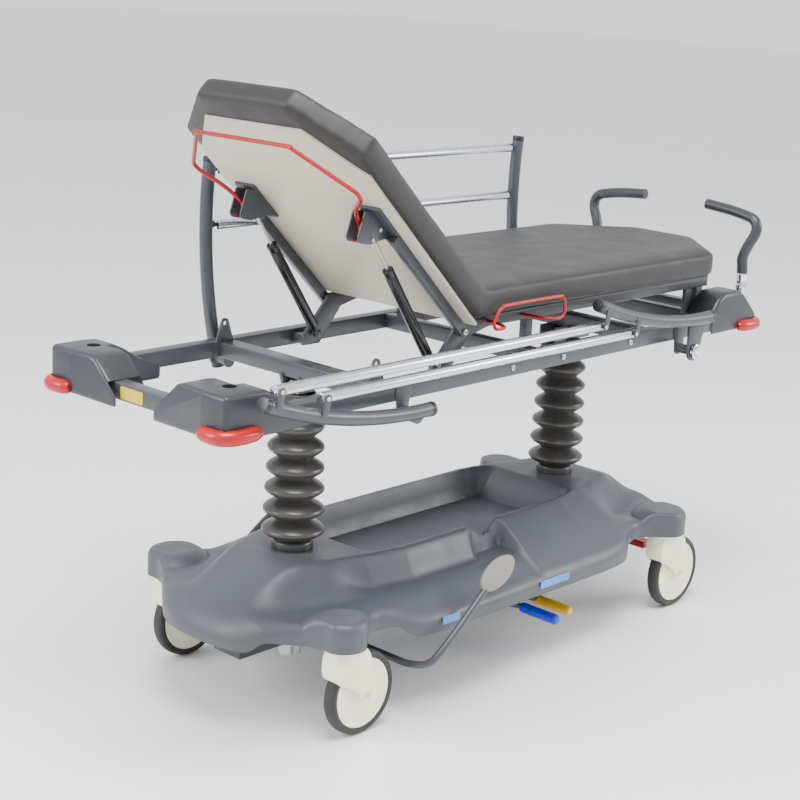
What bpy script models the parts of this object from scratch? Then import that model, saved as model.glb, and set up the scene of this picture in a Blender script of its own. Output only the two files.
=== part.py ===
"""Stretcher trolley: castor base with a moulded cover, two hydraulic columns, tilting deck, backrest, side rails.

Metres, +Z up, origin on the floor under the middle. +X is the foot end, -Y is the near side.
"""

import math

import bmesh
import bpy
from mathutils import Matrix, Vector

# ---- driving dimensions -------------------------------------------------------------------------
GAP = 0.0003

# castors
WHEEL_R = 0.100
TYRE_WIDTH = 0.034
TYRE_DEPTH = 0.017
CASTOR_X = 0.623
CASTOR_Y = 0.298
CASTOR_TRAIL = 0.058
TOWER_R = 0.056
AXLE_R = 0.009

# columns
COLUMN_X = 0.501
COLUMN_BASE_Z = 0.352
CYLINDER_R = 0.031
CYLINDER_BORE_R = 0.0235
CYLINDER_Z = (0.085, 0.375)
RAM_R = 0.0232
RAM_BOTTOM_Z = 0.320
SLEEVE_TOP_Z = 0.590
SLEEVE_BORE_R = 0.0165
FOOT_ROD_R = 0.0160
FOOT_ROD_BOTTOM_Z = 0.455
ROLLER_R = 0.0135
PIVOT_Z = 0.745
BELLOWS_LOBES = 7
BELLOWS_TOP_Z = 0.728

# pedals
BRAKE_SHAFT = (0.585, 0.0, 0.194)

# deck frame
RAIL_Y = 0.270
RAIL_WIDTH = 0.036
RAIL_Z = (0.763, 0.803)
FRAME_END_X = 0.945
FOOT_LEG_X = 0.815
SEAT_TUBE_Y = 0.205
SEAT_TUBE_Z = (0.872, 0.906)
BOARD_Z = (0.909, 0.9165)
SEAT_PAD_Z = (0.917, 0.985)
SEAT_START_X = -0.115
SEAT_CHAMFER_X = 0.765
SEAT_END_X = 0.955
PAD_HALF_WIDTH = 0.295
PAD_END_HALF_WIDTH = 0.100

# backrest, drawn in its own plane: u runs up the board from its lower edge, n stands off its underside
BACK_ANGLE = math.radians(44.0)
BACK_EDGE = Vector((-0.1995, 0.0, 0.896))
BACK_PIVOT = Vector((-0.197, 0.0, 0.875))
BOARD_THICKNESS = 0.008
BOARD_HALF_WIDTH = 0.270
BOARD_STRAIGHT = 0.526
BOARD_LENGTH = 0.655
BOARD_END_HALF_WIDTH = 0.153
BACK_PAD_N = (0.0085, 0.068)
BACK_PAD_STRAIGHT = 0.587
BACK_PAD_LENGTH = 0.728
BACK_PAD_END_HALF_WIDTH = 0.140
ARM_Y = (0.2175, 0.2355)

# gas struts
STRUT_Y = 0.190
STRUT_FOOT = Vector((-0.257, 0.0, 0.7996))
STRUT_HEAD_U = 0.362
STRUT_HEAD_N = -0.032
STRUT_R = 0.0135
STRUT_BODY_LENGTH = 0.290
STRUT_ROD_R = 0.0045

# side rails, drawn upright about the lower pivot of each post
SIDE_Y = 0.350
POST_R = 0.0165
SIDE_TUBE_R = 0.0125
POST_PIVOT_Z = 0.740
POST_HEAD_X = -0.458
POST_SPACING = 1.080
POST_FOOT_OFFSET = 0.080
PIN_OFFSET = 0.010
PIN_HEIGHTS = {"upper": 0.458, "lower": 0.323}
FOLD_ANGLE = math.radians(75.5)

SIDES = {"near": -1.0, "far": 1.0}
ENDS = {"head": -1.0, "foot": 1.0}

COLOURS = {
    "cover_plastic": ((0.165, 0.180, 0.205), 0.45, 0.0),
    "frame_paint": ((0.125, 0.135, 0.150), 0.35, 0.2),
    "bellows_rubber": ((0.090, 0.085, 0.080), 0.45, 0.0),
    "castor_plastic": ((0.860, 0.850, 0.730), 0.35, 0.0),
    "tyre_rubber": ((0.060, 0.058, 0.055), 0.65, 0.0),
    "steel": ((0.560, 0.560, 0.550), 0.30, 1.0),
    "rail_aluminium": ((0.700, 0.710, 0.730), 0.28, 1.0),
    "board_laminate": ((0.520, 0.500, 0.410), 0.45, 0.0),
    "mattress_cover": ((0.075, 0.075, 0.070), 0.55, 0.0),
    "strut_black": ((0.015, 0.015, 0.015), 0.35, 0.0),
    "red_paint": ((0.750, 0.010, 0.012), 0.30, 0.0),
    "bumper_red": ((0.850, 0.010, 0.010), 0.25, 0.0),
    "pedal_grey": ((0.300, 0.295, 0.280), 0.45, 0.0),
    "grip_blue": ((0.010, 0.045, 0.560), 0.35, 0.0),
    "grip_yellow": ((0.620, 0.380, 0.005), 0.35, 0.0),
    "chrome": ((0.750, 0.750, 0.760), 0.12, 1.0),
}


# ---- scene and object helpers -------------------------------------------------------------------
def start_scene():
    for item in list(bpy.data.objects):
        bpy.data.objects.remove(item)
    made = []
    for name in ("stretcher_trolley", "cutters"):
        collection = bpy.data.collections.new(name)
        bpy.context.scene.collection.children.link(collection)
        made.append(collection)
    return made


PARTS, CUTTERS = start_scene()


def make_materials():
    made = {}
    for name, (colour, roughness, metallic) in COLOURS.items():
        material = bpy.data.materials.new(name)
        material.use_nodes = True
        shader = material.node_tree.nodes["Principled BSDF"]
        shader.inputs["Base Color"].default_value = (*colour, 1.0)
        shader.inputs["Roughness"].default_value = roughness
        shader.inputs["Metallic"].default_value = metallic
        material.diffuse_color = (*colour, 1.0)
        made[name] = material
    return made


MATERIALS = make_materials()


def link_mesh(name, mesh, collection=None):
    item = bpy.data.objects.new(name, mesh)
    (collection or CUTTERS).objects.link(item)
    return item


def face_outward(shape):
    bmesh.ops.recalc_face_normals(shape, faces=shape.faces)
    if shape.calc_volume(signed=True) < 0:
        bmesh.ops.reverse_faces(shape, faces=shape.faces)


def finish_bmesh(name, shape):
    face_outward(shape)
    mesh = bpy.data.meshes.new(name)
    shape.to_mesh(mesh)
    shape.free()
    return link_mesh(name, mesh)


def freeze(item):
    """The object as its modifiers and curve settings leave it, as one welded mesh in world space."""
    bpy.context.view_layer.update()
    evaluated = item.evaluated_get(bpy.context.evaluated_depsgraph_get())
    mesh = bpy.data.meshes.new_from_object(evaluated)
    mesh.transform(item.matrix_world)
    shape = bmesh.new()
    shape.from_mesh(mesh)
    bmesh.ops.remove_doubles(shape, verts=shape.verts, dist=0.00002)
    face_outward(shape)
    shape.to_mesh(mesh)
    shape.free()
    name = item.name
    bpy.data.objects.remove(item)
    return link_mesh(name, mesh)


def box(name, low, high):
    shape = bmesh.new()
    bmesh.ops.create_cube(shape, size=1.0)
    low, high = Vector(low), Vector(high)
    size = high - low
    bmesh.ops.scale(shape, vec=size, verts=shape.verts)
    bmesh.ops.translate(shape, vec=(low + high) / 2, verts=shape.verts)
    return finish_bmesh(name, shape)


def rod(name, start, end, radius, end_radius=None, sides=12):
    """A cylinder, or a cone where end_radius is given, from one point to another."""
    start, end = Vector(start), Vector(end)
    run = end - start
    shape = bmesh.new()
    bmesh.ops.create_cone(
        shape,
        cap_ends=True,
        segments=sides,
        radius1=radius,
        radius2=radius if end_radius is None else end_radius,
        depth=run.length,
    )
    turn = run.to_track_quat("Z", "Y").to_matrix().to_4x4()
    shape.transform(Matrix.Translation((start + end) / 2) @ turn)
    return finish_bmesh(name, shape)


def tube(name, points, radius, resolution=3, smooth=True, samples=4):
    """A round bar along points: a smooth curve through them, or straight runs."""
    curve = bpy.data.curves.new(name, "CURVE")
    curve.dimensions = "3D"
    curve.bevel_depth = radius
    curve.bevel_resolution = resolution
    curve.use_fill_caps = True
    path = smooth_path(points, samples) if smooth else [Vector(p) for p in points]
    spline = curve.splines.new("POLY")
    spline.points.add(len(path) - 1)
    for target, point in zip(spline.points, path):
        target.co = (*point, 1.0)
    return freeze(link_mesh(name, curve))


def smooth_path(points, samples):
    """Points along a Catmull-Rom curve through the given ones."""
    fixed = [Vector(p) for p in points]
    ends = [2 * fixed[0] - fixed[1], *fixed, 2 * fixed[-1] - fixed[-2]]
    path = []
    for a, b, c, d in zip(ends, ends[1:], ends[2:], ends[3:]):
        for k in range(samples):
            t = k / samples
            path.append(
                0.5 * (2 * b + (c - a) * t + (2 * a - 5 * b + 4 * c - d) * t**2 + (3 * b - a - 3 * c + d) * t**3)
            )
    path.append(fixed[-1])
    return path


def plate(name, outline, thickness, place):
    """A flat outline given thickness, centred on its own plane and then put in place by a matrix."""
    curve = bpy.data.curves.new(name, "CURVE")
    curve.dimensions = "2D"
    curve.fill_mode = "BOTH"
    curve.extrude = thickness / 2
    spline = curve.splines.new("POLY")
    spline.points.add(len(outline) - 1)
    for target, (x, y) in zip(spline.points, outline):
        target.co = (x, y, 0.0, 1.0)
    spline.use_cyclic_u = True
    item = link_mesh(name, curve)
    item.matrix_world = place
    return freeze(item)


def turned(name, profile, steps=24):
    """A turned shape from (radius, height) points that run down its outer side."""
    mesh = bpy.data.meshes.new(name)
    mesh.from_pydata([(r, 0.0, z) for r, z in profile], [(i, i + 1) for i in range(len(profile) - 1)], [])
    item = link_mesh(name, mesh)
    screw = item.modifiers.new("turn", "SCREW")
    screw.steps = steps
    screw.render_steps = steps
    screw.use_merge_vertices = True
    screw.merge_threshold = 0.00005
    screw.use_smooth_shade = True
    return freeze(item)


def arc(centre, radius, start_deg, end_deg, count):
    """Points on an arc in a plane, both ends included."""
    made = []
    for k in range(count + 1):
        angle = math.radians(start_deg + (end_deg - start_deg) * k / count)
        made.append((centre[0] + radius * math.cos(angle), centre[1] + radius * math.sin(angle)))
    return made


def upright_plane(y):
    """Puts an outline drawn in X and Z on the plane at that Y."""
    return Matrix.Translation((0.0, y, 0.0)) @ Matrix.Rotation(math.pi / 2, 4, "X")


def cross_plane(x):
    """Puts an outline drawn in Y and Z on the plane at that X."""
    return Matrix.Translation((x, 0.0, 0.0)) @ Matrix(((0, 0, 1, 0), (1, 0, 0, 0), (0, 1, 0, 0), (0, 0, 0, 1)))


def flat_plane(z):
    return Matrix.Translation((0.0, 0.0, z))


def back_matrix():
    """The backrest's own frame in the world: its X is u, its Y is the trolley's Y, its Z is n."""
    c, s = math.cos(BACK_ANGLE), math.sin(BACK_ANGLE)
    turn = Matrix(((-c, 0, s, 0), (0, 1, 0, 0), (s, 0, c, 0), (0, 0, 0, 1)))
    return Matrix.Translation(BACK_EDGE) @ turn


BACK = back_matrix()


def back_point(u, y, n):
    return BACK @ Vector((u, y, n))


def move(item, matrix):
    item.data.transform(matrix)
    if matrix.determinant() < 0:
        item.data.flip_normals()
    return item


def combine(item, others, operation="UNION"):
    for other in others:
        other.hide_render = True
        other.display_type = "WIRE"
        modifier = item.modifiers.new(operation.lower(), "BOOLEAN")
        modifier.operation = operation
        modifier.solver = "EXACT"
        modifier.object = other
    return item


def cut(item, others):
    return combine(item, others, "DIFFERENCE")


def rounded(item, width, segments=2, angle=35.0):
    bevel = item.modifiers.new("rounding", "BEVEL")
    bevel.width = width
    bevel.segments = segments
    bevel.limit_method = "ANGLE"
    bevel.angle_limit = math.radians(angle)
    bevel.harden_normals = False
    return item


def part(item, name, material, origin=(0.0, 0.0, 0.0)):
    """Names a finished piece, gives it its material and puts its origin where it turns or slides."""
    item = freeze(item)
    origin = Vector(origin)
    item.data.transform(Matrix.Translation(-origin))
    item.location = origin
    item.name = name
    item.data.name = name
    item.data.materials.clear()
    item.data.materials.append(MATERIALS[material])
    item.data.shade_smooth()
    item.data.set_sharp_from_angle(angle=math.radians(35.0))
    CUTTERS.objects.unlink(item)
    PARTS.objects.link(item)
    return item


# ---- base ---------------------------------------------------------------------------------------
def chassis_frame():
    beam_z = (0.130, 0.170)
    frame = box("chassis", (-0.700, -0.045, beam_z[0]), (0.700, 0.045, beam_z[1]))
    pieces = []
    for end in ENDS.values():
        x = end * CASTOR_X
        pieces.append(box("cross", (x - 0.022, -CASTOR_Y, 0.2350), (x + 0.022, CASTOR_Y, 0.262)))
        pieces.append(box("riser", (x - 0.020, -0.040, 0.160), (x + 0.020, 0.040, 0.240)))
        for side in SIDES.values():
            pieces.append(rod("socket", (x, side * CASTOR_Y, 0.2345), (x, side * CASTOR_Y, 0.283), 0.026))
        pieces.append(rod("seat", (end * COLUMN_X, 0, 0.120), (end * COLUMN_X, 0, 0.180), 0.052, sides=24))
    for side in SIDES.values():
        for start in (-0.235, 0.045):
            pieces.append(box("ear", (start, side * 0.040, 0.135), (start + 0.010, side * 0.085, 0.165)))
    shaft_x, _, shaft_z = BRAKE_SHAFT
    for side in SIDES.values():
        y = side * 0.040
        pieces.append(box("lug", (shaft_x - 0.013, y - 0.005, 0.165), (shaft_x + 0.013, y + 0.005, shaft_z + 0.013)))
    frame = combine(frame, pieces)
    bores = [rod("bore", (end * COLUMN_X, 0, 0.05), (end * COLUMN_X, 0, 0.30), CYLINDER_R + GAP, sides=20)
             for end in ENDS.values()]
    bores.append(rod("bore", (shaft_x, -0.08, shaft_z), (shaft_x, 0.08, shaft_z), 0.0083))
    return part(cut(frame, bores), "chassis_frame", "frame_paint")


def base_outline():
    """The plan of the base cover: a bulged nose at each end, a round lobe over each castor, and straight flanks."""
    nose = [(0.800, 0.0), (0.793, 0.080), (0.768, 0.148), (0.724, 0.208), (0.690, 0.250)]
    lobe = arc((CASTOR_X, CASTOR_Y), TOWER_R, -15, 145, 4)
    flank = [(0.548, 0.303), (0.505, 0.287), (0.458, 0.300), (0.408, 0.327), (0.330, 0.338), (0.170, 0.340),
             (0.0, 0.338)]
    quarter = nose + lobe + flank
    half = quarter + [(-x, y) for x, y in reversed(quarter[:-1])]
    return half + [(x, -y) for x, y in reversed(half[1:-1])]


def cover_height(x, y):
    """Height of the cover's top: two column mounds, a long tray between them, and low castor lobes."""
    mound = math.exp(-((max(0.0, abs(abs(x) - COLUMN_X) - 0.045) / 0.085) ** 2))
    across = 1.0 / (1.0 + (abs(y) / 0.155) ** 4)
    end_fall = 1.0 if abs(x) < 0.56 else math.exp(-(((abs(x) - 0.56) / 0.16) ** 2))
    height = 0.296 + 0.056 * mound * across
    rim = 0.040 * math.exp(-(((abs(y) - 0.215) / 0.040) ** 2)) * (1.0 if abs(x) < 0.40 else
          math.exp(-(((abs(x) - 0.40) / 0.10) ** 2)))
    tray = -0.030 * (1.0 if abs(y) < 0.16 else math.exp(-(((abs(y) - 0.16) / 0.025) ** 2)))
    tray *= 1.0 if abs(x) < 0.34 else math.exp(-(((abs(x) - 0.34) / 0.055) ** 2))
    nose = -0.055 * (1.0 - end_fall) * (1.0 if abs(y) < 0.16 else math.exp(-(((abs(y) - 0.16) / 0.05) ** 2)))
    return height + rim + tray + nose


def skirt_bottom(x, y):
    """Height of the cover's lower edge: deep along the sides and the nose, lifted at the castors."""
    beyond = max(0.0, math.hypot(abs(x) - CASTOR_X, abs(y) - CASTOR_Y) - 0.170)
    return 0.196 + 0.030 * math.exp(-((beyond / 0.030) ** 2))


def base_cover():
    """A moulded shell: rings of points from the centre line out to the plan, then down the skirt."""
    rings = (0.32, 0.52, 0.68, 0.82, 0.94, 1.0)
    outline = base_outline()
    count = len(outline)
    shape = bmesh.new()
    grid = []
    for t in rings:
        row = []
        for x, y in outline:
            spine = max(-0.50, min(0.50, x * 0.75))
            px = spine + (x - spine) * t
            py = y * t
            row.append((px, py, cover_height(px, py) - (0.012 if t == 1.0 else 0.0)))
        grid.append(row)
    bottom = []
    for x, y in outline:
        bottom.append((x, y, skirt_bottom(x, y)))
    grid.append(bottom)
    verts = [[shape.verts.new(p) for p in row] for row in grid]
    for inner, outer in zip(verts, verts[1:]):
        for k in range(count):
            n = (k + 1) % count
            shape.faces.new((inner[k], outer[k], outer[n], inner[n]))
    first = verts[0]
    half = count // 2
    shape.faces.new((first[0], first[1], first[-1]))
    shape.faces.new((first[half], first[half + 1], first[half - 1]))
    for k in range(1, half - 1):
        shape.faces.new((first[k], first[k + 1], first[count - k - 1], first[count - k]))
    bmesh.ops.recalc_face_normals(shape, faces=shape.faces)
    top_face = max(shape.faces, key=lambda f: f.calc_center_median().z)
    if top_face.normal.z < 0:
        bmesh.ops.reverse_faces(shape, faces=shape.faces)
    mesh = bpy.data.meshes.new("base_cover")
    shape.to_mesh(mesh)
    shape.free()
    item = link_mesh("base_cover", mesh)
    wall = item.modifiers.new("wall", "SOLIDIFY")
    wall.thickness = 0.004
    wall.offset = -1.0
    holes = [rod("hole", (end * COLUMN_X, 0, 0.28), (end * COLUMN_X, 0, 0.42), CYLINDER_R + 0.004, sides=24)
             for end in ENDS.values()]
    return part(cut(item, holes), "base_cover", "cover_plastic")


def jack_cylinder(end_name, end):
    low, high = CYLINDER_Z
    item = rod("cylinder", (end * COLUMN_X, 0, low), (end * COLUMN_X, 0, high), CYLINDER_R, sides=20)
    item = cut(item, [rod("bore", (end * COLUMN_X, 0, low + 0.010), (end * COLUMN_X, 0, high + 0.05),
                          CYLINDER_BORE_R, sides=20)])
    return part(item, f"jack_cylinder_{end_name}", "steel", (end * COLUMN_X, 0, low))


def bellows(end_name, end):
    """A convoluted boot with a short collar at its foot; the lobes widen a little towards the base."""
    bottom = COLUMN_BASE_Z + 0.0045
    pitch = (BELLOWS_TOP_Z - bottom - 0.018) / BELLOWS_LOBES
    outer = [(0.044, BELLOWS_TOP_Z)]
    for k in range(BELLOWS_LOBES):
        top = BELLOWS_TOP_Z - k * pitch
        lobe = 0.064 + 0.012 * k / (BELLOWS_LOBES - 1)
        outer += [(0.0415, top - 0.10 * pitch), (lobe, top - 0.50 * pitch), (lobe, top - 0.60 * pitch)]
    outer += [(0.0415, bottom + 0.018), (0.050, bottom + 0.012), (0.050, bottom)]
    inner = [(0.0385, bottom), (0.0385, BELLOWS_TOP_Z)]
    item = turned("bellows", [*outer, *inner, outer[0]], steps=14)
    move(item, Matrix.Translation((end * COLUMN_X, 0, 0)))
    return part(item, f"bellows_{end_name}", "bellows_rubber", (end * COLUMN_X, 0, bottom))


def ram_head():
    """The head ram, with an eye for the pin that the deck tilts on."""
    x = -COLUMN_X
    item = rod("ram", (x, 0, RAM_BOTTOM_Z), (x, 0, PIVOT_Z - 0.016), RAM_R, sides=20)
    outline = [(x - 0.014, PIVOT_Z - 0.022), *arc((x, PIVOT_Z), 0.014, 180, 0, 8), (x + 0.014, PIVOT_Z - 0.022)]
    item = combine(item, [plate("eye", outline, 0.036, upright_plane(0))])
    item = cut(item, [rod("bore", (x, -0.05, PIVOT_Z), (x, 0.05, PIVOT_Z), 0.0083)])
    return part(item, "ram_head", "steel", (x, 0, PIVOT_Z))


def ram_foot():
    """The foot ram has two stages: a sleeve that lifts with the head ram, and a rod in it that tilts the deck."""
    x = COLUMN_X
    sleeve = rod("sleeve", (x, 0, RAM_BOTTOM_Z), (x, 0, SLEEVE_TOP_Z), RAM_R, sides=20)
    sleeve = cut(sleeve, [rod("bore", (x, 0, RAM_BOTTOM_Z + 0.012), (x, 0, SLEEVE_TOP_Z + 0.05), SLEEVE_BORE_R)])
    part(sleeve, "ram_foot_sleeve", "steel", (x, 0, RAM_BOTTOM_Z))
    z = PIVOT_Z + 0.003
    item = rod("rod", (x, 0, FOOT_ROD_BOTTOM_Z), (x, 0, z), FOOT_ROD_R)
    item = combine(item, [rod("roller", (x, -0.0215, z), (x, 0.0215, z), ROLLER_R, sides=20)])
    return part(item, "ram_foot_rod", "steel", (x, 0, z))


# ---- castors ------------------------------------------------------------------------------------
def castor(end_name, end, side_name, side):
    """A cased castor: hood and side strut in one moulding, wheel with a dished disc, and its tyre."""
    x, y = end * CASTOR_X, side * CASTOR_Y
    wheel_x = x + CASTOR_TRAIL
    tag = f"{end_name}_{side_name}"
    hood = plate("hood", [(x - 0.038, 0.215), (x - 0.040, 0.160), (x - 0.030, 0.150), (wheel_x - 0.004, 0.092),
                          *arc((wheel_x, WHEEL_R), 0.016, 230, 350, 4), (x + 0.062, 0.150), (x + 0.076, 0.176),
                          (x + 0.064, 0.208), (x + 0.040, 0.219)],
                 0.058, upright_plane(y))
    rounded(hood, 0.006, 1)
    hood = freeze(hood)
    neck = rod("neck", (x, y, 0.200), (x, y, 0.2340), 0.041)
    hood = combine(hood, [neck])
    clearance = rod("clearance", (wheel_x, y - 0.0187, WHEEL_R), (wheel_x, y + 0.0187, WHEEL_R), 0.1035, sides=24)
    hood = cut(hood, [clearance])
    axle = rod("axle", (wheel_x, y - 0.024, WHEEL_R), (wheel_x, y + 0.024, WHEEL_R), AXLE_R)
    hood = combine(hood, [axle])
    part(hood, f"castor_fork_{tag}", "castor_plastic", (x, y, 0.234))

    rim_r = WHEEL_R - TYRE_DEPTH
    half = TYRE_WIDTH / 2
    lay = Matrix.Translation((wheel_x, y, WHEEL_R)) @ Matrix.Rotation(math.pi / 2, 4, "X")
    bore = AXLE_R + GAP
    disc = [(bore, half - 0.002), (0.024, half - 0.002), (0.030, half - 0.006), (rim_r, half - 0.003)]
    disc += [(r, -z) for r, z in reversed(disc)] + [disc[0]]
    wheel = move(turned("wheel", disc, steps=24), lay)
    part(wheel, f"wheel_{tag}", "castor_plastic", (wheel_x, y, WHEEL_R))

    inner = rim_r + GAP
    tread = [(inner, half - 0.001), (WHEEL_R - 0.006, half), (WHEEL_R, half - 0.007)]
    tread += [(r, -z) for r, z in reversed(tread)] + [tread[0]]
    tyre = move(turned("tyre", tread, steps=24), lay)
    part(tyre, f"tyre_{tag}", "tyre_rubber", (wheel_x, y, WHEEL_R))


# ---- pedals -------------------------------------------------------------------------------------
def pump_pedal(side_name, side):
    """A long lever bent out from the chassis, forward of the castor's sweep, to an oval foot pad."""
    hinge = Vector((-0.420, side * 0.095, 0.130))
    route = [hinge, (-0.418, side * 0.300, 0.130), (-0.400, side * 0.362, 0.142), (-0.360, side * 0.374, 0.175),
             (-0.270, side * 0.376, 0.245), (-0.205, side * 0.378, 0.288)]
    arm = tube("arm", route, 0.0085, resolution=2, samples=2)
    boss = rod("boss", hinge - Vector((0, 0.016 * side, 0)), hinge + Vector((0, 0.016 * side, 0)), 0.016)
    outline = [(0.078 * math.cos(a), 0.036 * math.sin(a)) for a in (2 * math.pi * k / 20 for k in range(20))]
    turn = Matrix.Translation((-0.165, side * 0.381, 0.310)) @ Matrix.Rotation(math.radians(-28), 4, "Y")
    turn = turn @ Matrix.Rotation(math.radians(-side * 62), 4, "X")
    pad = plate("pad", outline, 0.016, turn)
    item = combine(arm, [boss, pad])
    return part(item, f"pump_pedal_{side_name}", "pedal_grey", hinge)


def release_lever(colour, x, reach, material):
    """A short lever out from the chassis with a coloured grip at its end."""
    hinge = Vector((x - 0.070, -0.105, 0.120))
    route = [hinge, (x - 0.050, -0.150, 0.112), (x, -0.200, 0.100), (x + 0.005, -reach + 0.10, 0.097)]
    arm = tube("arm", route, 0.0075, resolution=2, samples=3)
    grip = rod("grip", (x + 0.002, -reach + 0.115, 0.098), (x + 0.012, -reach, 0.092), 0.014, sides=14)
    boss = rod("boss", hinge - Vector((0.014, 0, 0)), hinge + Vector((0.014, 0, 0)), 0.013)
    return part(combine(arm, [grip, boss]), f"release_lever_{colour}", material, hinge)


def brake_pedal():
    """The castor brake pedal at the foot end: a cross shaft, an arm and a broad red tread."""
    x, _, z = BRAKE_SHAFT
    shaft = rod("shaft", (x, -0.120, z), (x, 0.120, z), 0.008)
    arm = tube("arm", [(x, -0.105, z), (0.640, -0.110, 0.165), (0.735, -0.125, 0.130)], 0.008, 1, samples=3)
    tread = box("tread", (0.715, -0.175, 0.118), (0.755, -0.085, 0.138))
    return part(combine(shaft, [arm, tread]), "brake_pedal", "red_paint", BRAKE_SHAFT)


# ---- deck ---------------------------------------------------------------------------------------
def hinge_lug(side):
    """Side plate that carries the backrest pivot and the gas strut's lower pin."""
    px, pz = BACK_PIVOT.x, BACK_PIVOT.z
    outline = [(-0.288, 0.769), (-0.232, 0.769), (-0.160, 0.856), (-0.070, 0.876), (-0.070, 0.8925),
               (px, pz + 0.0175), (px - 0.0125, pz + 0.0125), (px - 0.0175, pz), (-0.288, 0.792)]
    pieces = [plate("lug", outline, 0.010, upright_plane(side * 0.2115))]
    pieces.append(box("spacer", (-0.283, min(side * 0.213, side * 0.254), 0.7705),
                      (-0.237, max(side * 0.213, side * 0.254), 0.7945)))
    pieces.append(rod("pivot", (px, side * 0.2115, pz), (px, side * 0.2370, pz), 0.006))
    foot = STRUT_FOOT
    pieces.append(rod("strut_pin", (foot.x, side * 0.2115, foot.z), (foot.x, side * 0.1835, foot.z), 0.0045))
    return pieces


def rail_bracket(side, x):
    """Plate on a rail's outer face, with the boss and pin that a side rail post turns on."""
    z = POST_PIVOT_Z
    outline = [(x - 0.034, 0.800), *arc((x, z), 0.019, 200, 340, 6), (x + 0.034, 0.800)]
    face = side * (RAIL_Y + RAIL_WIDTH / 2 + 0.001)
    pieces = [plate("bracket", outline, 0.005, upright_plane(face))]
    pieces.append(rod("boss", (x, face, z), (x, side * 0.3300, z), 0.013))
    pieces.append(rod("pin", (x, face, z), (x, side * 0.3690, z), 0.0075))
    return pieces


def socket_plate(side):
    """Tapered plate with a hole, standing on the inside of the rail beside the head cross member."""
    x, top = -0.509, 0.858
    outline = [(x - 0.034, 0.766), (x + 0.034, 0.766), (x + 0.028, 0.800), *arc((x, top - 0.012), 0.012, 10, 170, 6),
               (x - 0.028, 0.800)]
    item = plate("socket", outline, 0.005, upright_plane(side * 0.2505))
    return cut(item, [rod("hole", (x, side * 0.2, top - 0.012), (x, side * 0.3, top - 0.012), 0.0055)])


def main_frame():
    low, high = RAIL_Z
    half = RAIL_WIDTH / 2
    end = FRAME_END_X
    frame = box("rail", (-end, -RAIL_Y - half, low), (end, -RAIL_Y + half, high))
    pieces = [box("rail", (-end, RAIL_Y - half, low), (end, RAIL_Y + half, high))]
    bars = [(-end, half), (-COLUMN_X, 0.024), (0.070, 0.016), (COLUMN_X, 0.024), (FOOT_LEG_X, 0.016), (end, half)]
    for x, w in bars:
        pieces.append(box("bar", (x - w, -RAIL_Y, low + 0.001), (x + w, RAIL_Y, high - 0.001)))
    for side in SIDES.values():
        y = side * SEAT_TUBE_Y
        pieces.append(box("seat_tube", (-0.100, y - 0.012, SEAT_TUBE_Z[0]), (0.850, y + 0.012, SEAT_TUBE_Z[1])))
        for x in (0.070, FOOT_LEG_X):
            pieces.append(box("leg", (x - 0.014, y - 0.010, high - 0.010), (x + 0.014, y + 0.010, 0.880)))
        pieces += hinge_lug(side)
        for post_x in (POST_HEAD_X, POST_HEAD_X + POST_SPACING):
            pieces += rail_bracket(side, post_x)
        pieces.append(freeze(socket_plate(side)))
        cheek = plate("cheek", [(-COLUMN_X - 0.030, 0.770), (-COLUMN_X - 0.020, PIVOT_Z - 0.012),
                                (-COLUMN_X + 0.020, PIVOT_Z - 0.012), (-COLUMN_X + 0.030, 0.770)],
                      0.010, upright_plane(side * 0.030))
        pieces.append(cheek)
        channel_x = (COLUMN_X - 0.075, COLUMN_X + 0.075)
        pieces.append(box("channel", (channel_x[0], side * 0.0255 - 0.003, 0.7285),
                          (channel_x[1], side * 0.0255 + 0.003, 0.770)))
    pieces.append(rod("tilt_pin", (-COLUMN_X, -0.038, PIVOT_Z), (-COLUMN_X, 0.038, PIVOT_Z), 0.0080))
    for y in (-0.10, 0.10):
        pieces.append(box("slat", (-0.090, y - 0.010, 0.880), (0.840, y + 0.010, 0.9065)))
    for x in (-0.080, 0.300, 0.600, 0.825):
        pieces.append(box("slat_bar", (x - 0.010, -SEAT_TUBE_Y, 0.878), (x + 0.010, SEAT_TUBE_Y, 0.900)))
    frame = combine(frame, pieces)
    return part(frame, "main_frame", "frame_paint")


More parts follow.
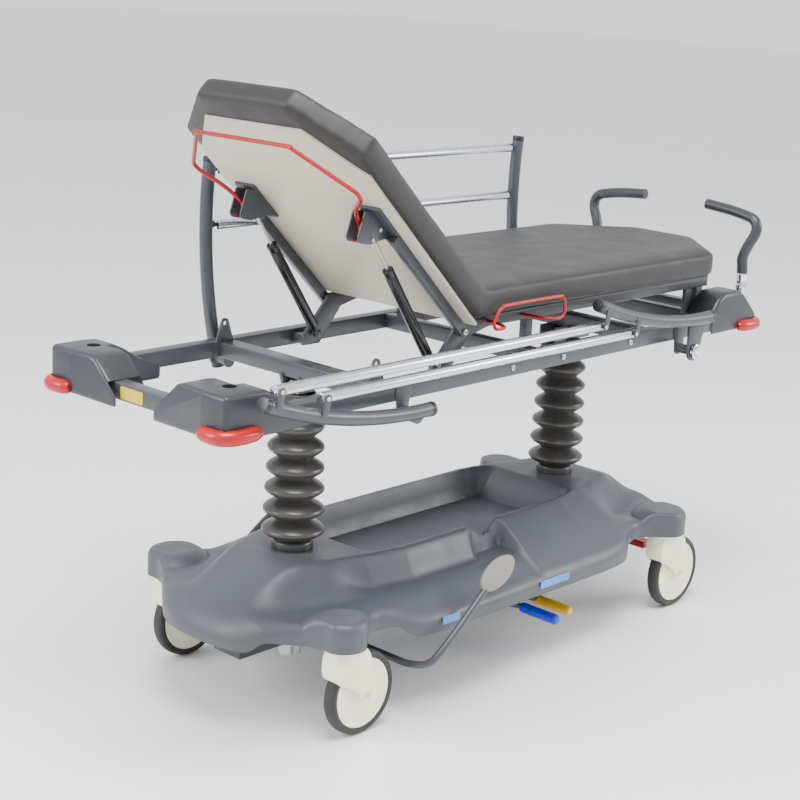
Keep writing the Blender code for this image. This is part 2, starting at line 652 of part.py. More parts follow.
def corner_cover(end_name, end, side_name, side):
    """A moulded cap over a frame corner: one leg over the end bar, one over the rail, high at the corner."""
    out_y = 0.292
    leg_y = out_y - 0.015
    if end_name == "head":
        out_x = 0.984
        across = [(0.060, 0.7496), (0.060, 0.774), (0.135, 0.852), (leg_y, 0.8485), (leg_y, 0.7496)]
        along = [(0.735, 0.749), (0.735, 0.790), (0.800, 0.808), (0.870, 0.850), (out_x, 0.850), (out_x, 0.749)]
        well = (0.915, 0.225, 0.016)
    else:
        out_x = 0.998
        across = [(0.100, 0.7526), (0.100, 0.780), (0.150, 0.806), (leg_y, 0.812), (leg_y, 0.7526)]
        along = [(0.770, 0.752), (0.770, 0.800), (0.800, 0.845), (0.825, 0.864), (0.912, 0.864), (out_x, 0.790),
                 (out_x, 0.752)]
        well = (HANDLE_BASE[0], HANDLE_BASE[1], 0.0175)
    end_leg = plate("end_leg", across, 0.095, cross_plane(out_x - 0.0481))
    rail_leg = plate("rail_leg", along, 0.086, upright_plane(out_y - 0.043))
    shell = freeze(combine(freeze(rounded(end_leg, 0.008, 1, 30)), [freeze(rounded(rail_leg, 0.008, 1, 30))]))
    cavity = [box("cavity", (0.70, 0.2105, 0.70), (out_x - 0.0048, 0.2885, 0.8035)),
              box("cavity", (0.8925, -0.02, 0.69), (out_x - 0.0045, 0.2500, 0.8040)),
              rod("well", (well[0], well[1], 0.790), (well[0], well[1], 0.900), well[2], sides=16)]
    if end_name == "foot":
        cavity.append(box("leg_slot", (FOOT_LEG_X - 0.018, 0.19, 0.70), (FOOT_LEG_X + 0.018, 0.2160, 0.90)))
    shell = move(freeze(cut(shell, cavity)), Matrix.Diagonal((end, side, 1.0, 1.0)))
    return part(shell, f"corner_cover_{end_name}_{side_name}", "cover_plastic")


def bumper(end_name, end, side_name, side):
    """A soft L-shaped corner bumper that stands on the lower edge of the corner cover."""
    out_x, out_y = (0.9843 if end_name == "head" else 0.9983), 0.2923
    path = [(out_x, 0.215), (out_x + 0.008, 0.262), (out_x - 0.009, out_y + 0.002), (out_x - 0.055, out_y + 0.008),
            (out_x - 0.100, out_y)]
    item = tube("bumper", [(end * x, side * y, 0.764) for x, y in path], 0.0165, resolution=2, samples=2)
    item = cut(item, [box("clear", (-out_x, -out_y, 0.70), (out_x, out_y, 0.90))])
    return part(item, f"bumper_{end_name}_{side_name}", "bumper_red")


HANDLE_BASE = (0.960, 0.256, 0.885)


def push_handle(side_name, side):
    """A bent tube handle on a short stem that folds inward over the end of the deck."""
    x, y, z = HANDLE_BASE
    route = [(x, y, 0.806), (x, y, 0.900), (0.962, 0.251, 0.945), (0.966, 0.266, 0.990), (0.972, 0.283, 1.030),
             (0.975, 0.274, 1.058), (0.978, 0.245, 1.070), (0.980, 0.190, 1.074), (0.982, 0.105, 1.076)]
    item = tube("handle", [(px, side * py, pz) for px, py, pz in route], 0.0150, resolution=1, samples=2)
    return part(item, f"push_handle_{side_name}", "cover_plastic", (x, side * y, z))


def wire_handle(side_name, side):
    """A red wire loop beside the seat joint, with two feet turned in under the seat board."""
    y = side * 0.303
    route = [(-0.100, side * 0.2200, 0.889), (-0.120, side * 0.296, 0.889), (-0.168, y, 0.8905), (-0.172, y, 0.905),
             (-0.155, y, 0.932), (-0.125, y, 0.943), (0.060, y, 0.943), (0.088, y, 0.932), (0.092, y, 0.905),
             (0.080, y, 0.8905), (0.040, side * 0.296, 0.889), (0.030, side * 0.2200, 0.889)]
    item = tube("wire", route, 0.004, resolution=0, samples=2)
    return part(item, f"wire_handle_{side_name}", "red_paint")


def octagon(start_x, straight_x, end_x, half, end_half):
    return [(start_x, -half), (straight_x, -half), (end_x, -end_half), (end_x, end_half), (straight_x, half),
            (start_x, half)]


def seat_board():
    outline = octagon(SEAT_START_X, SEAT_CHAMFER_X - 0.020, SEAT_END_X - 0.030, 0.270, PAD_END_HALF_WIDTH)
    item = plate("board", outline, BOARD_Z[1] - BOARD_Z[0], flat_plane(sum(BOARD_Z) / 2))
    return part(item, "seat_board", "board_laminate")


def mattress_seat():
    outline = octagon(SEAT_START_X, SEAT_CHAMFER_X, SEAT_END_X, PAD_HALF_WIDTH, PAD_END_HALF_WIDTH)
    item = plate("pad", outline, SEAT_PAD_Z[1] - SEAT_PAD_Z[0], flat_plane(sum(SEAT_PAD_Z) / 2))
    return part(rounded(item, 0.010, 2), "mattress_seat", "mattress_cover")


# ---- backrest -----------------------------------------------------------------------------------
def backrest_board():
    outline = octagon(0.0, BOARD_STRAIGHT, BOARD_LENGTH, BOARD_HALF_WIDTH, BOARD_END_HALF_WIDTH)
    item = plate("board", outline, BOARD_THICKNESS, BACK @ flat_plane(BOARD_THICKNESS / 2))
    return part(item, "backrest_board", "board_laminate", BACK_PIVOT)


def mattress_backrest():
    outline = octagon(0.0, BACK_PAD_STRAIGHT, BACK_PAD_LENGTH, PAD_HALF_WIDTH, BACK_PAD_END_HALF_WIDTH)
    low, high = BACK_PAD_N
    item = plate("pad", outline, high - low, BACK @ flat_plane((low + high) / 2))
    return part(rounded(item, 0.010, 2), "mattress_backrest", "mattress_cover", BACK_PIVOT)


def backrest_arm(side_name, side):
    """The arm that turns on the frame's pivot, with the two bracket plates for the gas strut's rod end."""
    pivot_u, pivot_n = -0.0164, -0.0134
    low_y, high_y = ARM_Y
    mid_y = side * (low_y + high_y) / 2

    def placed(item):
        return move(item, BACK)

    def side_box(name, u, y, n):
        return placed(box(name, (u[0], min(side * y[0], side * y[1]), n[0]), (u[1], max(side * y[0], side * y[1]), n[1])))

    arm = side_box("arm", (-0.012, 0.330), ARM_Y, (-0.0255, -0.0010))
    hub = placed(rod("hub", (pivot_u, side * low_y, pivot_n), (pivot_u, side * high_y, pivot_n), 0.0122, sides=20))
    pad = side_box("pad", (0.306, 0.420), (0.1690, 0.2345), (-0.0070, -0.0006))
    outline = [(0.306, -0.003), (0.334, -0.022), (0.350, -0.044), (0.362, -0.062), *arc((0.392, -0.066), 0.013, 240, 330, 3),
               (0.428, -0.022), (0.402, -0.003)]
    plates = [move(plate("cheek", outline, 0.004, upright_plane(side * y)), BACK) for y in (0.2075, 0.1725)]
    boss = side_box("gusset", (0.306, 0.330), (0.2060, 0.2185), (-0.0200, -0.0040))
    arm = combine(arm, [hub, pad, *plates, boss])
    bore = placed(rod("bore", (pivot_u, mid_y - 0.03, pivot_n), (pivot_u, mid_y + 0.03, pivot_n), 0.0063))
    return part(cut(arm, [bore]), f"backrest_arm_{side_name}", "frame_paint", BACK_PIVOT)


def release_bar():
    """The red squeeze bar that runs round under the board's head end and pulls both strut valves."""
    n = -0.042
    half = [(0.372, 0.1890, -0.062), (0.388, 0.1890, -0.050), (0.410, 0.195, n), (0.455, 0.214, n), (0.505, 0.262, n),
            (0.530, 0.258, n), (0.640, 0.158, n), (0.652, 0.138, n)]
    route = [(u, y, m) for u, y, m in half] + [(u, -y, m) for u, y, m in reversed(half)]
    item = tube("bar", [back_point(u, y, m) for u, y, m in route], 0.005, resolution=0, samples=2)
    pins = [rod("pin", back_point(0.372, side * 0.1750, -0.062), back_point(0.372, side * 0.2050, -0.062), 0.0062)
            for side in SIDES.values()]
    item = combine(item, pins)
    return part(item, "release_bar", "red_paint", back_point(0.372, 0.0, -0.062))


def strut(side_name, side):
    """A gas strut: the cylinder turns on the frame's pin and the rod slides in it towards the bracket."""
    y = side * STRUT_Y
    foot = Vector((STRUT_FOOT.x, y, STRUT_FOOT.z))
    head = back_point(STRUT_HEAD_U, y, STRUT_HEAD_N)
    run = (head - foot).normalized()
    across = Vector((0, 1, 0))
    body = rod("body", foot + run * 0.022, foot + run * STRUT_BODY_LENGTH, STRUT_R, sides=20)
    neck = rod("neck", foot, foot + run * 0.024, 0.006, sides=12)
    eye = rod("eye", foot - across * 0.0055, foot + across * 0.0055, 0.0105)
    body = combine(body, [neck, eye])
    bores = [rod("bore", foot - across * 0.02, foot + across * 0.02, 0.0048)]
    bores.append(rod("bore", foot + run * 0.150, foot + run * 0.320, STRUT_ROD_R + 0.0004, sides=12))
    part(cut(body, bores), f"strut_cylinder_{side_name}", "strut_black", foot)
    shaft = rod("shaft", foot + run * 0.235, head - run * 0.006, STRUT_ROD_R, sides=12)
    eye = rod("eye", head - across * 0.0055, head + across * 0.0055, 0.0080)
    part(combine(shaft, [eye]), f"strut_rod_{side_name}", "steel", head)


# ---- side rails ---------------------------------------------------------------------------------
def post_curve(offset):
    """The bowed centre line of a post, upright, about its lower pivot."""
    made = []
    for k in range(7):
        t = k / 6
        made.append((offset + 0.020 - 0.042 * t - 0.120 * 0.21 * t * (1 - t) * 4, -0.028 + 0.518 * t))
    return made


def post_at(height, offset):
    t = (height + 0.028) / 0.518
    return offset + 0.020 - 0.042 * t - 0.120 * 0.21 * t * (1 - t) * 4


def side_post(end_name, side_name, side, fold):
    """A bowed tube post with its pivot plate and two ears for the rail tubes."""
    offset = POST_FOOT_OFFSET if end_name == "foot" else 0.0
    y = side * SIDE_Y
    item = tube("post", [(x, y, z) for x, z in post_curve(offset)], POST_R, resolution=1, samples=1)
    lug_y = side * 0.3350
    if end_name == "foot":
        outline = [*arc((0, 0), 0.021, 250, 110, 6), (offset + 0.008, 0.045), (offset + 0.010, -0.026)]
    else:
        outline = [*arc((0, 0), 0.021, 190, 380, 8), (0.012, 0.050), (-0.012, 0.050)]
    pieces = [plate("lug", outline, 0.007, upright_plane(lug_y))]
    ear_y = side * 0.3652
    for height in PIN_HEIGHTS.values():
        centre = post_at(height, offset)
        reach = PIN_OFFSET - centre
        sign = math.copysign(1.0, reach)
        outline = [(centre, height - 0.009), (PIN_OFFSET, height - 0.009), (PIN_OFFSET + 0.009 * sign, height),
                   (PIN_OFFSET, height + 0.009), (centre, height + 0.009)]
        pieces.append(plate("ear", outline, 0.004, upright_plane(ear_y)))
        pieces.append(rod("pin", (PIN_OFFSET, ear_y, height), (PIN_OFFSET, side * 0.3500, height), 0.0040, sides=12))
    item = combine(item, pieces)
    item = cut(item, [rod("bore", (0, side * 0.32, 0), (0, side * 0.38, 0), 0.0079)])
    pivot_x = POST_HEAD_X + (POST_SPACING if end_name == "foot" else 0.0)
    place = Matrix.Translation((pivot_x, 0, POST_PIVOT_Z)) @ Matrix.Rotation(-fold, 4, "Y")
    item = move(freeze(item), place)
    return part(item, f"rail_post_{end_name}_{side_name}", "frame_paint", (pivot_x, y, POST_PIVOT_Z))


def side_tube(level, side_name, side, fold):
    """A straight rail tube between the two posts, level at every angle."""
    y = side * SIDE_Y
    turn = Matrix.Rotation(-fold, 4, "Y")
    pin = turn @ Vector((PIN_OFFSET, 0, PIN_HEIGHTS[level]))
    x, z = POST_HEAD_X + pin.x, POST_PIVOT_Z + pin.z
    item = rod("tube", (x - 0.010, y, z), (x + POST_SPACING + 0.010, y, z), SIDE_TUBE_R, sides=20)
    holes = [rod("hole", (px, side * 0.345, z), (px, side * 0.380, z), 0.0045, sides=12)
             for px in (x, x + POST_SPACING)]
    return part(cut(item, holes), f"rail_tube_{level}_{side_name}", "rail_aluminium", (x, y, z))


def lock_knob(side_name, side):
    """A round pull knob on the foot post's pivot axis."""
    x, z = POST_HEAD_X + POST_SPACING, POST_PIVOT_Z
    profile = [(0.0, 0.018), (0.013, 0.018), (0.0165, 0.014), (0.0165, 0.004), (0.011, 0.0), (0.0, 0.0)]
    item = turned("knob", profile, steps=20)
    lay = Matrix.Translation((x, side * 0.3700, z)) @ Matrix.Rotation(-side * math.pi / 2, 4, "X")
    return part(move(item, lay), f"rail_lock_knob_{side_name}", "chrome", (x, side * 0.3700, z))


# ---- assembly -----------------------------------------------------------------------------------
def build():
    chassis_frame()
    base_cover()
    for end_name, end in ENDS.items():
        jack_cylinder(end_name, end)
        bellows(end_name, end)
        for side_name, side in SIDES.items():
            castor(end_name, end, side_name, side)
            corner_cover(end_name, end, side_name, side)
            bumper(end_name, end, side_name, side)
    ram_head()
    ram_foot()
    main_frame()
    seat_board()
    mattress_seat()
    backrest_board()
    mattress_backrest()
    release_bar()
    release_lever("blue", 0.135, 0.318, "grip_blue")
    release_lever("yellow", 0.210, 0.300, "grip_yellow")
    brake_pedal()
    folds = {"near": FOLD_ANGLE, "far": 0.0}
    for side_name, side in SIDES.items():
        pump_pedal(side_name, side)
        push_handle(side_name, side)
        wire_handle(side_name, side)
        backrest_arm(side_name, side)
        strut(side_name, side)
        lock_knob(side_name, side)
        for end_name in ENDS:
            side_post(end_name, side_name, side, folds[side_name])
        for level in PIN_HEIGHTS:
            side_tube(level, side_name, side, folds[side_name])


build()
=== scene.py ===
"""Looks of the stretcher trolley: detailed pieces, materials, floor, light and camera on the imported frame."""

import math

import bmesh
import bpy
from mathutils import Matrix, Vector


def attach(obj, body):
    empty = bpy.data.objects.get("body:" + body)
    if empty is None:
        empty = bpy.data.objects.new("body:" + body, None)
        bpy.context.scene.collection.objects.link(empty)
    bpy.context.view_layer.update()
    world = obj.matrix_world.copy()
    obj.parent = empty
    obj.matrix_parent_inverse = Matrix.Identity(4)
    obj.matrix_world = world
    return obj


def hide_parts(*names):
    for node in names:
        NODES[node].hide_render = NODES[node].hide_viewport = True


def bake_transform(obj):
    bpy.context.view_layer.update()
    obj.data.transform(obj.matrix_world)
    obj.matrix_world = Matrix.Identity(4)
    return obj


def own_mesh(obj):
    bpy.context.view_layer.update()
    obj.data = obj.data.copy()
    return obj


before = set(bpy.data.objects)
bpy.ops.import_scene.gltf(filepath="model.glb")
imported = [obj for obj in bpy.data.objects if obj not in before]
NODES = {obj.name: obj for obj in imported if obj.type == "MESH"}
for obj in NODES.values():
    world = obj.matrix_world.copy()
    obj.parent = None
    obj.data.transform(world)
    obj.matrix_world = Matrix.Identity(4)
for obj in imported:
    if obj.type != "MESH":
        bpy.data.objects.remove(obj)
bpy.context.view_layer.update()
SIDES = {"near": -1.0, "far": 1.0}
ENDS = {"head": -1.0, "foot": 1.0}

# ---- dimensions in metres, most of them the solids' own
CASTOR_X, CASTOR_Y, CASTOR_TRAIL, WHEEL_R = 0.623, 0.298, 0.058, 0.100
TOWER_R = 0.056
COLUMN_X, BELLOWS_Z = 0.501, (0.3565, 0.728)
BACK_ANGLE = math.radians(44.0)
BACK_EDGE = Vector((-0.1995, 0.0, 0.896))
BACK_PIVOT = Vector((-0.197, 0.0, 0.875))
STRUT_Y, STRUT_FOOT, STRUT_HEAD = 0.190, Vector((-0.257, 0.0, 0.7996)), (0.362, -0.032)
SIDE_Y, POST_Z, POST_X, POST_SPACING, POST_OFFSET = 0.350, 0.740, -0.458, 1.080, 0.080
POST_FOOT, POST_LENGTH, EAR_R = -0.028, 0.518, 0.009
PIN_OFFSET, PIN_HEIGHTS, FOLD = 0.010, {"upper": 0.458, "lower": 0.323}, math.radians(75.5)
KNOB_Y = 0.3395
COVER_RIM_Y, RIM_Z, TRAY_Z, SKIRT_Z, COVER_WALL = 0.338, 0.238, 0.278, 0.1962, 0.004
FLANK_LABEL_Y, BAR_LABEL_X = -0.3405, -0.9632
MATTRESS_HALF, MATTRESS_VOXEL, QUICK_VOXEL = 0.293, 0.0085, 0.010
PANEL_HALF = 0.270
HANDLE_XY = (0.960, 0.256)
BRAKE_SHAFT = (0.585, 0.0, 0.194)


# ---- materials
def srgb(r, g, b):
    def one(v):
        v /= 255.0
        return v / 12.92 if v <= 0.04045 else ((v + 0.055) / 1.055) ** 2.4
    return one(r), one(g), one(b), 1.0


class Surface:
    """A node material: colour and roughness that vary a little, and a bump made of one or two textures."""

    def __init__(self, name, colour, roughness, metallic=0.0, **sockets):
        self.material = bpy.data.materials.new(name)
        self.material.use_nodes = True
        self.nodes = self.material.node_tree.nodes
        self.links = self.material.node_tree.links
        self.shader = self.nodes["Principled BSDF"]
        self.colour = colour
        self.roughness = roughness
        self.shader.inputs["Base Color"].default_value = colour
        self.shader.inputs["Roughness"].default_value = roughness
        self.shader.inputs["Metallic"].default_value = metallic
        for socket, value in sockets.items():
            self.shader.inputs[socket.replace("_", " ")].default_value = value
        self.where = self.nodes.new("ShaderNodeTexCoord").outputs["Object"]
        self.height = None

    def mapped(self, scale):
        mapping = self.nodes.new("ShaderNodeMapping")
        mapping.inputs["Scale"].default_value = scale if isinstance(scale, tuple) else (scale,) * 3
        self.links.new(self.where, mapping.inputs["Vector"])
        return mapping.outputs["Vector"]

    def noise(self, scale, detail=3.0, rough=0.5):
        node = self.nodes.new("ShaderNodeTexNoise")
        node.inputs["Scale"].default_value = 1.0
        node.inputs["Detail"].default_value = detail
        node.inputs["Roughness"].default_value = rough
        self.links.new(self.mapped(scale), node.inputs["Vector"])
        return node.outputs["Fac"]

    def wave(self, scale):
        node = self.nodes.new("ShaderNodeTexWave")
        node.bands_direction = "DIAGONAL"
        node.inputs["Scale"].default_value = 1.0
        node.inputs["Distortion"].default_value = 0.0
        self.links.new(self.mapped(scale), node.inputs["Vector"])
        return node.outputs["Fac"]

    def ramp(self, factor, low, high):
        """Spreads the middle of a noise, where nearly all its values lie, from low to high."""
        node = self.nodes.new("ShaderNodeMapRange")
        node.inputs["From Min"].default_value = 0.3
        node.inputs["From Max"].default_value = 0.7
        node.inputs["To Min"].default_value = low
        node.inputs["To Max"].default_value = high
        self.links.new(factor, node.inputs["Value"])
        return node.outputs["Result"]

    def product(self, a, b):
        node = self.nodes.new("ShaderNodeMath")
        node.operation = "MULTIPLY"
        for socket, value in zip(node.inputs, (a, b)):
            self.links.new(value, socket)
        return node.outputs[0]

    def vary(self, scale, colour, rough):
        """Slow changes in colour and gloss, as handling and moulding leave them."""
        detail = 4.0
        factor = self.noise(scale, detail)
        mix = self.nodes.new("ShaderNodeMix")
        mix.data_type = "RGBA"
        dark = tuple(c * (1 - colour) for c in self.colour[:3]) + (1.0,)
        light = tuple(min(1.0, c * (1 + colour)) for c in self.colour[:3]) + (1.0,)
        mix.inputs[6].default_value = dark
        mix.inputs[7].default_value = light
        self.links.new(self.ramp(factor, 0.0, 1.0), mix.inputs[0])
        self.links.new(mix.outputs[2], self.shader.inputs["Base Color"])
        second = self.noise(scale * 2.3 if not isinstance(scale, tuple) else scale, detail)
        gloss = self.ramp(second, self.roughness - rough, self.roughness + rough)
        self.links.new(gloss, self.shader.inputs["Roughness"])
        return self

    def bump(self, factor, strength, distance):
        node = self.nodes.new("ShaderNodeBump")
        node.inputs["Strength"].default_value = strength
        node.inputs["Distance"].default_value = distance
        self.links.new(factor, node.inputs["Height"])
        if self.height is not None:
            self.links.new(self.height, node.inputs["Normal"])
        self.height = node.outputs["Normal"]
        self.links.new(self.height, self.shader.inputs["Normal"])
        return self


def make_materials():
    made = {}

    def moulded(name, rgb, roughness, grain, **sockets):
        surface = Surface(name, srgb(*rgb), roughness, **sockets).vary(7.0, 0.05, 0.05)
        surface.bump(surface.noise(1400.0, 2.0), grain, 0.0002)
        surface.bump(surface.noise(18.0, 2.0), 0.06, 0.002)
        made[name] = surface.material

    def painted(name, rgb, roughness, peel):
        surface = Surface(name, srgb(*rgb), roughness).vary(11.0, 0.05, 0.06)
        surface.bump(surface.noise(420.0, 2.0), peel, 0.0003)
        made[name] = surface.material

    moulded("cover_plastic", (70, 74, 80), 0.42, 0.22, Specular_IOR_Level=0.45)
    moulded("castor_plastic", (250, 247, 214), 0.32, 0.08, Coat_Weight=0.15, Coat_Roughness=0.2)
    for look in (("corner_plastic", (44, 47, 53), 0.36, 0.30), ("pedal_grey", (132, 127, 119), 0.45, 0.5),
                 ("grip_blue", (26, 56, 200), 0.35, 0.3), ("grip_yellow", (222, 172, 16), 0.35, 0.3),
                 ("bumper_red", (172, 0, 1), 0.28, 0.04), ("cap_black", (22, 22, 24), 0.38, 0.2),
                 ("label_blue", (70, 138, 200), 0.30, 0.05), ("label_yellow", (214, 186, 10), 0.30, 0.05)):
        moulded(*look)
    for look in (("frame_paint", (60, 64, 70), 0.33, 0.12), ("chassis_paint", (48, 51, 56), 0.40, 0.12),
                 ("red_paint", (160, 0, 1), 0.36, 0.06), ("strut_black", (20, 20, 21), 0.26, 0.04)):
        painted(*look)

    rubber = Surface("bellows_rubber", srgb(58, 56, 53), 0.32).vary(12.0, 0.08, 0.07)
    rubber.bump(rubber.noise(700.0, 3.0), 0.18, 0.0004)
    rubber.bump(rubber.noise(26.0, 2.0), 0.10, 0.003)
    made["bellows_rubber"] = rubber.material

    tyre = Surface("tyre_rubber", srgb(40, 39, 38), 0.62).vary(20.0, 0.12, 0.08)
    tyre.bump(tyre.noise(900.0, 3.0), 0.35, 0.0004)
    made["tyre_rubber"] = tyre.material

    board = Surface("board_laminate", srgb(196, 190, 168), 0.42).vary(5.0, 0.03, 0.05)
    board.bump(board.noise(650.0, 2.0), 0.12, 0.0003)
    made["board_laminate"] = board.material

    cloth = Surface("mattress_cover", srgb(26, 25, 23), 0.52, Sheen_Weight=0.04, Sheen_Roughness=0.45)
    cloth.vary(6.0, 0.07, 0.05)
    warp = cloth.wave((900.0, 900.0, 900.0))
    weft = cloth.wave((900.0, -900.0, 900.0))
    cloth.bump(cloth.product(warp, weft), 0.22, 0.0003)
    cloth.bump(cloth.noise(34.0, 4.0, 0.55), 0.16, 0.004)
    made["mattress_cover"] = cloth.material

    def metal(name, colour, roughness, grain, strength, spread):
        surface = Surface(name, colour, roughness, 1.0)
        surface.vary(14.0, 0.03, spread)
        surface.bump(surface.noise(grain, 3.0, 0.6), strength, 0.0002)
        made[name] = surface.material

    metal("rail_aluminium", srgb(206, 210, 218), 0.26, (6.0, 700.0, 700.0), 0.25, 0.05)
    metal("bright_steel", srgb(188, 188, 186), 0.28, (500.0, 500.0, 8.0), 0.2, 0.06)
    metal("bolt_steel", srgb(206, 202, 192), 0.30, 260.0, 0.2, 0.06)
    metal("chrome", srgb(228, 230, 233), 0.08, 90.0, 0.03, 0.03)
    return made


MATERIALS = make_materials()


# ---- making pieces
def link(name, data):
    piece = bpy.data.objects.new(name, data)
    bpy.context.scene.collection.objects.link(piece)
    return piece


def smooth(mesh, angle=35.0):
    mesh.shade_smooth()
    mesh.set_sharp_from_angle(angle=math.radians(angle))


def face_out(shape):
    bmesh.ops.recalc_face_normals(shape, faces=shape.faces)
    if shape.calc_volume(signed=True) < 0:
        bmesh.ops.reverse_faces(shape, faces=shape.faces)


def as_piece(name, shape):
    mesh = bpy.data.meshes.new(name)
    shape.to_mesh(mesh)
    shape.free()
    return link(name, mesh)


def from_bmesh(name, shape):
    face_out(shape)
    return as_piece(name, shape)


def settle(piece):
    """Applies modifiers and curve settings, leaving one welded mesh in world space."""
    bpy.context.view_layer.update()
    mesh = bpy.data.meshes.new_from_object(piece.evaluated_get(bpy.context.evaluated_depsgraph_get()))
    mesh.transform(piece.matrix_world)
    shape = bmesh.new()
    shape.from_mesh(mesh)
    bmesh.ops.remove_doubles(shape, verts=shape.verts, dist=0.00001)
    face_out(shape)
    shape.to_mesh(mesh)
    shape.free()
    name = piece.name
    bpy.data.objects.remove(piece)
    smooth(mesh)
    return link(name, mesh)


def aimed(place, direction):
    """Takes a piece modelled up +Z at the origin to a place, with its +Z along a direction."""
    return Matrix.Translation(place) @ Vector(direction).to_track_quat("Z", "Y").to_matrix().to_4x4()


def box(low, high, round_edge=0.0, steps=3):
    shape = bmesh.new()
    bmesh.ops.create_cube(shape, size=1.0)
    low, high = Vector(low), Vector(high)
    bmesh.ops.scale(shape, vec=high - low, verts=shape.verts)
    bmesh.ops.translate(shape, vec=(low + high) / 2, verts=shape.verts)
    if round_edge:
        bmesh.ops.bevel(shape, geom=shape.edges[:], offset=round_edge, segments=steps, affect="EDGES",
                        profile=0.5)
    return from_bmesh("box", shape)


def side_box(side, low, high, round_edge, steps=3):
    """A box given as on the far side, and mirrored for the near one."""
    y0, y1 = sorted((side * low[1], side * high[1]))
    return box((low[0], y0, low[2]), (high[0], y1, high[2]), round_edge, steps)


def rod(start, end, radius, end_radius=None, sides=40, round_edge=0.0):
    start, end = Vector(start), Vector(end)
    run = end - start
    shape = bmesh.new()
    bmesh.ops.create_cone(shape, cap_ends=True, segments=sides, radius1=radius,
                          radius2=radius if end_radius is None else end_radius, depth=run.length)
    if round_edge:
        rims = [e for e in shape.edges if abs(e.verts[0].co.z - e.verts[1].co.z) < 1e-6]
        bmesh.ops.bevel(shape, geom=rims, offset=round_edge, segments=3, affect="EDGES", profile=0.5)
    shape.transform(aimed((start + end) / 2, run))
    return from_bmesh("rod", shape)


def smooth_path(points, samples):
    fixed = [Vector(p) for p in points]
    ends = [2 * fixed[0] - fixed[1], *fixed, 2 * fixed[-1] - fixed[-2]]
    path = []
    for a, b, c, d in zip(ends, ends[1:], ends[2:], ends[3:]):
        for k in range(samples):
            t = k / samples
            path.append(0.5 * (2 * b + (c - a) * t + (2 * a - 5 * b + 4 * c - d) * t**2
                               + (3 * b - a - 3 * c + d) * t**3))
    path.append(fixed[-1])
    return path


def add_line(curve, points, closed):
    spline = curve.splines.new("POLY")
    spline.points.add(len(points) - 1)
    for target, point in zip(spline.points, points):
        target.co = (*point, 1.0)
    spline.use_cyclic_u = closed
    return spline


def tube(points, radius, samples=8, resolution=6, radii=None):
    """A round bar along a smooth path; radii gives its share of the radius from 0 to 1 along the path."""
    curve = bpy.data.curves.new("tube", "CURVE")
    curve.dimensions = "3D"
    curve.bevel_depth = radius
    curve.bevel_resolution = resolution
    curve.use_fill_caps = True
    spline = add_line(curve, smooth_path(points, samples), False)
    if radii:
        for k, target in enumerate(spline.points):
            target.radius = radii(k / (len(spline.points) - 1))
    return settle(link("tube", curve))


def plate(outline, thickness, place, round_edge=0.0, steps=3, holes=()):
    """A flat outline with thickness and softened rims; holes are (x, y, radius)."""
    curve = bpy.data.curves.new("plate", "CURVE")
    curve.dimensions = "2D"
    curve.fill_mode = "BOTH"
    curve.extrude = thickness / 2
    loops = [outline] + [arc((x, y), r, 0, 360 - 15, 23) for x, y, r in holes]
    for loop in loops:
        add_line(curve, [(x, y, 0.0) for x, y in loop], True)
    piece = settle(link("plate", curve))
    if round_edge and not holes:
        shape = bmesh.new()
        shape.from_mesh(piece.data)
        bmesh.ops.dissolve_limit(shape, angle_limit=math.radians(0.5), verts=shape.verts,
                                 edges=shape.edges)
        shape.to_mesh(piece.data)
        shape.free()
    if round_edge:
        bevel = piece.modifiers.new("rims", "BEVEL")
        bevel.width = round_edge
        bevel.segments = steps
        bevel.limit_method = "ANGLE"
        bevel.angle_limit = math.radians(32.0)
        piece = settle(piece)
    return move(piece, place)


def turned(profile, steps=64):
    mesh = bpy.data.meshes.new("turned")
    edges = [(i, i + 1) for i in range(len(profile) - 1)]
    mesh.from_pydata([(r, 0.0, z) for r, z in profile], edges, [])
    piece = link("turned", mesh)
    screw = piece.modifiers.new("turn", "SCREW")
    screw.steps = steps
    screw.render_steps = steps
    screw.use_merge_vertices = True
    screw.merge_threshold = 0.00002
    return settle(piece)


def arc(centre, radius, start, end, count):
    turns = [math.radians(start + (end - start) * k / count) for k in range(count + 1)]
    return [(centre[0] + radius * math.cos(t), centre[1] + radius * math.sin(t)) for t in turns]


def oval(half_x, half_y, count):
    turns = [2 * math.pi * k / count for k in range(count)]
    return [(half_x * math.cos(t), half_y * math.sin(t)) for t in turns]


def upright(y):
    return Matrix.Translation((0.0, y, 0.0)) @ Matrix.Rotation(math.pi / 2, 4, "X")


def crosswise(x):
    return Matrix(((0, 0, 1, x), (1, 0, 0, 0), (0, 1, 0, 0), (0, 0, 0, 1)))


def level(z):
    return Matrix.Translation((0.0, 0.0, z))


def back_matrix():
    """From the backrest's own axes, up it, across it and out of it, to the world's."""
    c, s = math.cos(BACK_ANGLE), math.sin(BACK_ANGLE)
    return Matrix.Translation(BACK_EDGE) @ Matrix(((-c, 0, s, 0), (0, 1, 0, 0), (s, 0, c, 0), (0, 0, 0, 1)))


BACK = back_matrix()


def move(piece, matrix):
    piece.data.transform(matrix)
    if matrix.determinant() < 0:
        piece.data.flip_normals()
    return piece


def join(name, pieces):
    """One mesh out of several that stay separate shells, as welded or bolted pieces look."""
    shape = bmesh.new()
    for piece in pieces:
        shape.from_mesh(piece.data)
        bpy.data.objects.remove(piece)
    made = as_piece(name, shape)
    smooth(made.data)
    return made


def cut(piece, cutters, operation="DIFFERENCE"):
    for cutter in cutters:
        modifier = piece.modifiers.new("cut", "BOOLEAN")
        modifier.operation = operation
        modifier.solver = "EXACT"
        modifier.object = cutter
    made = settle(piece)
    for cutter in cutters:
        bpy.data.objects.remove(cutter)
    return made


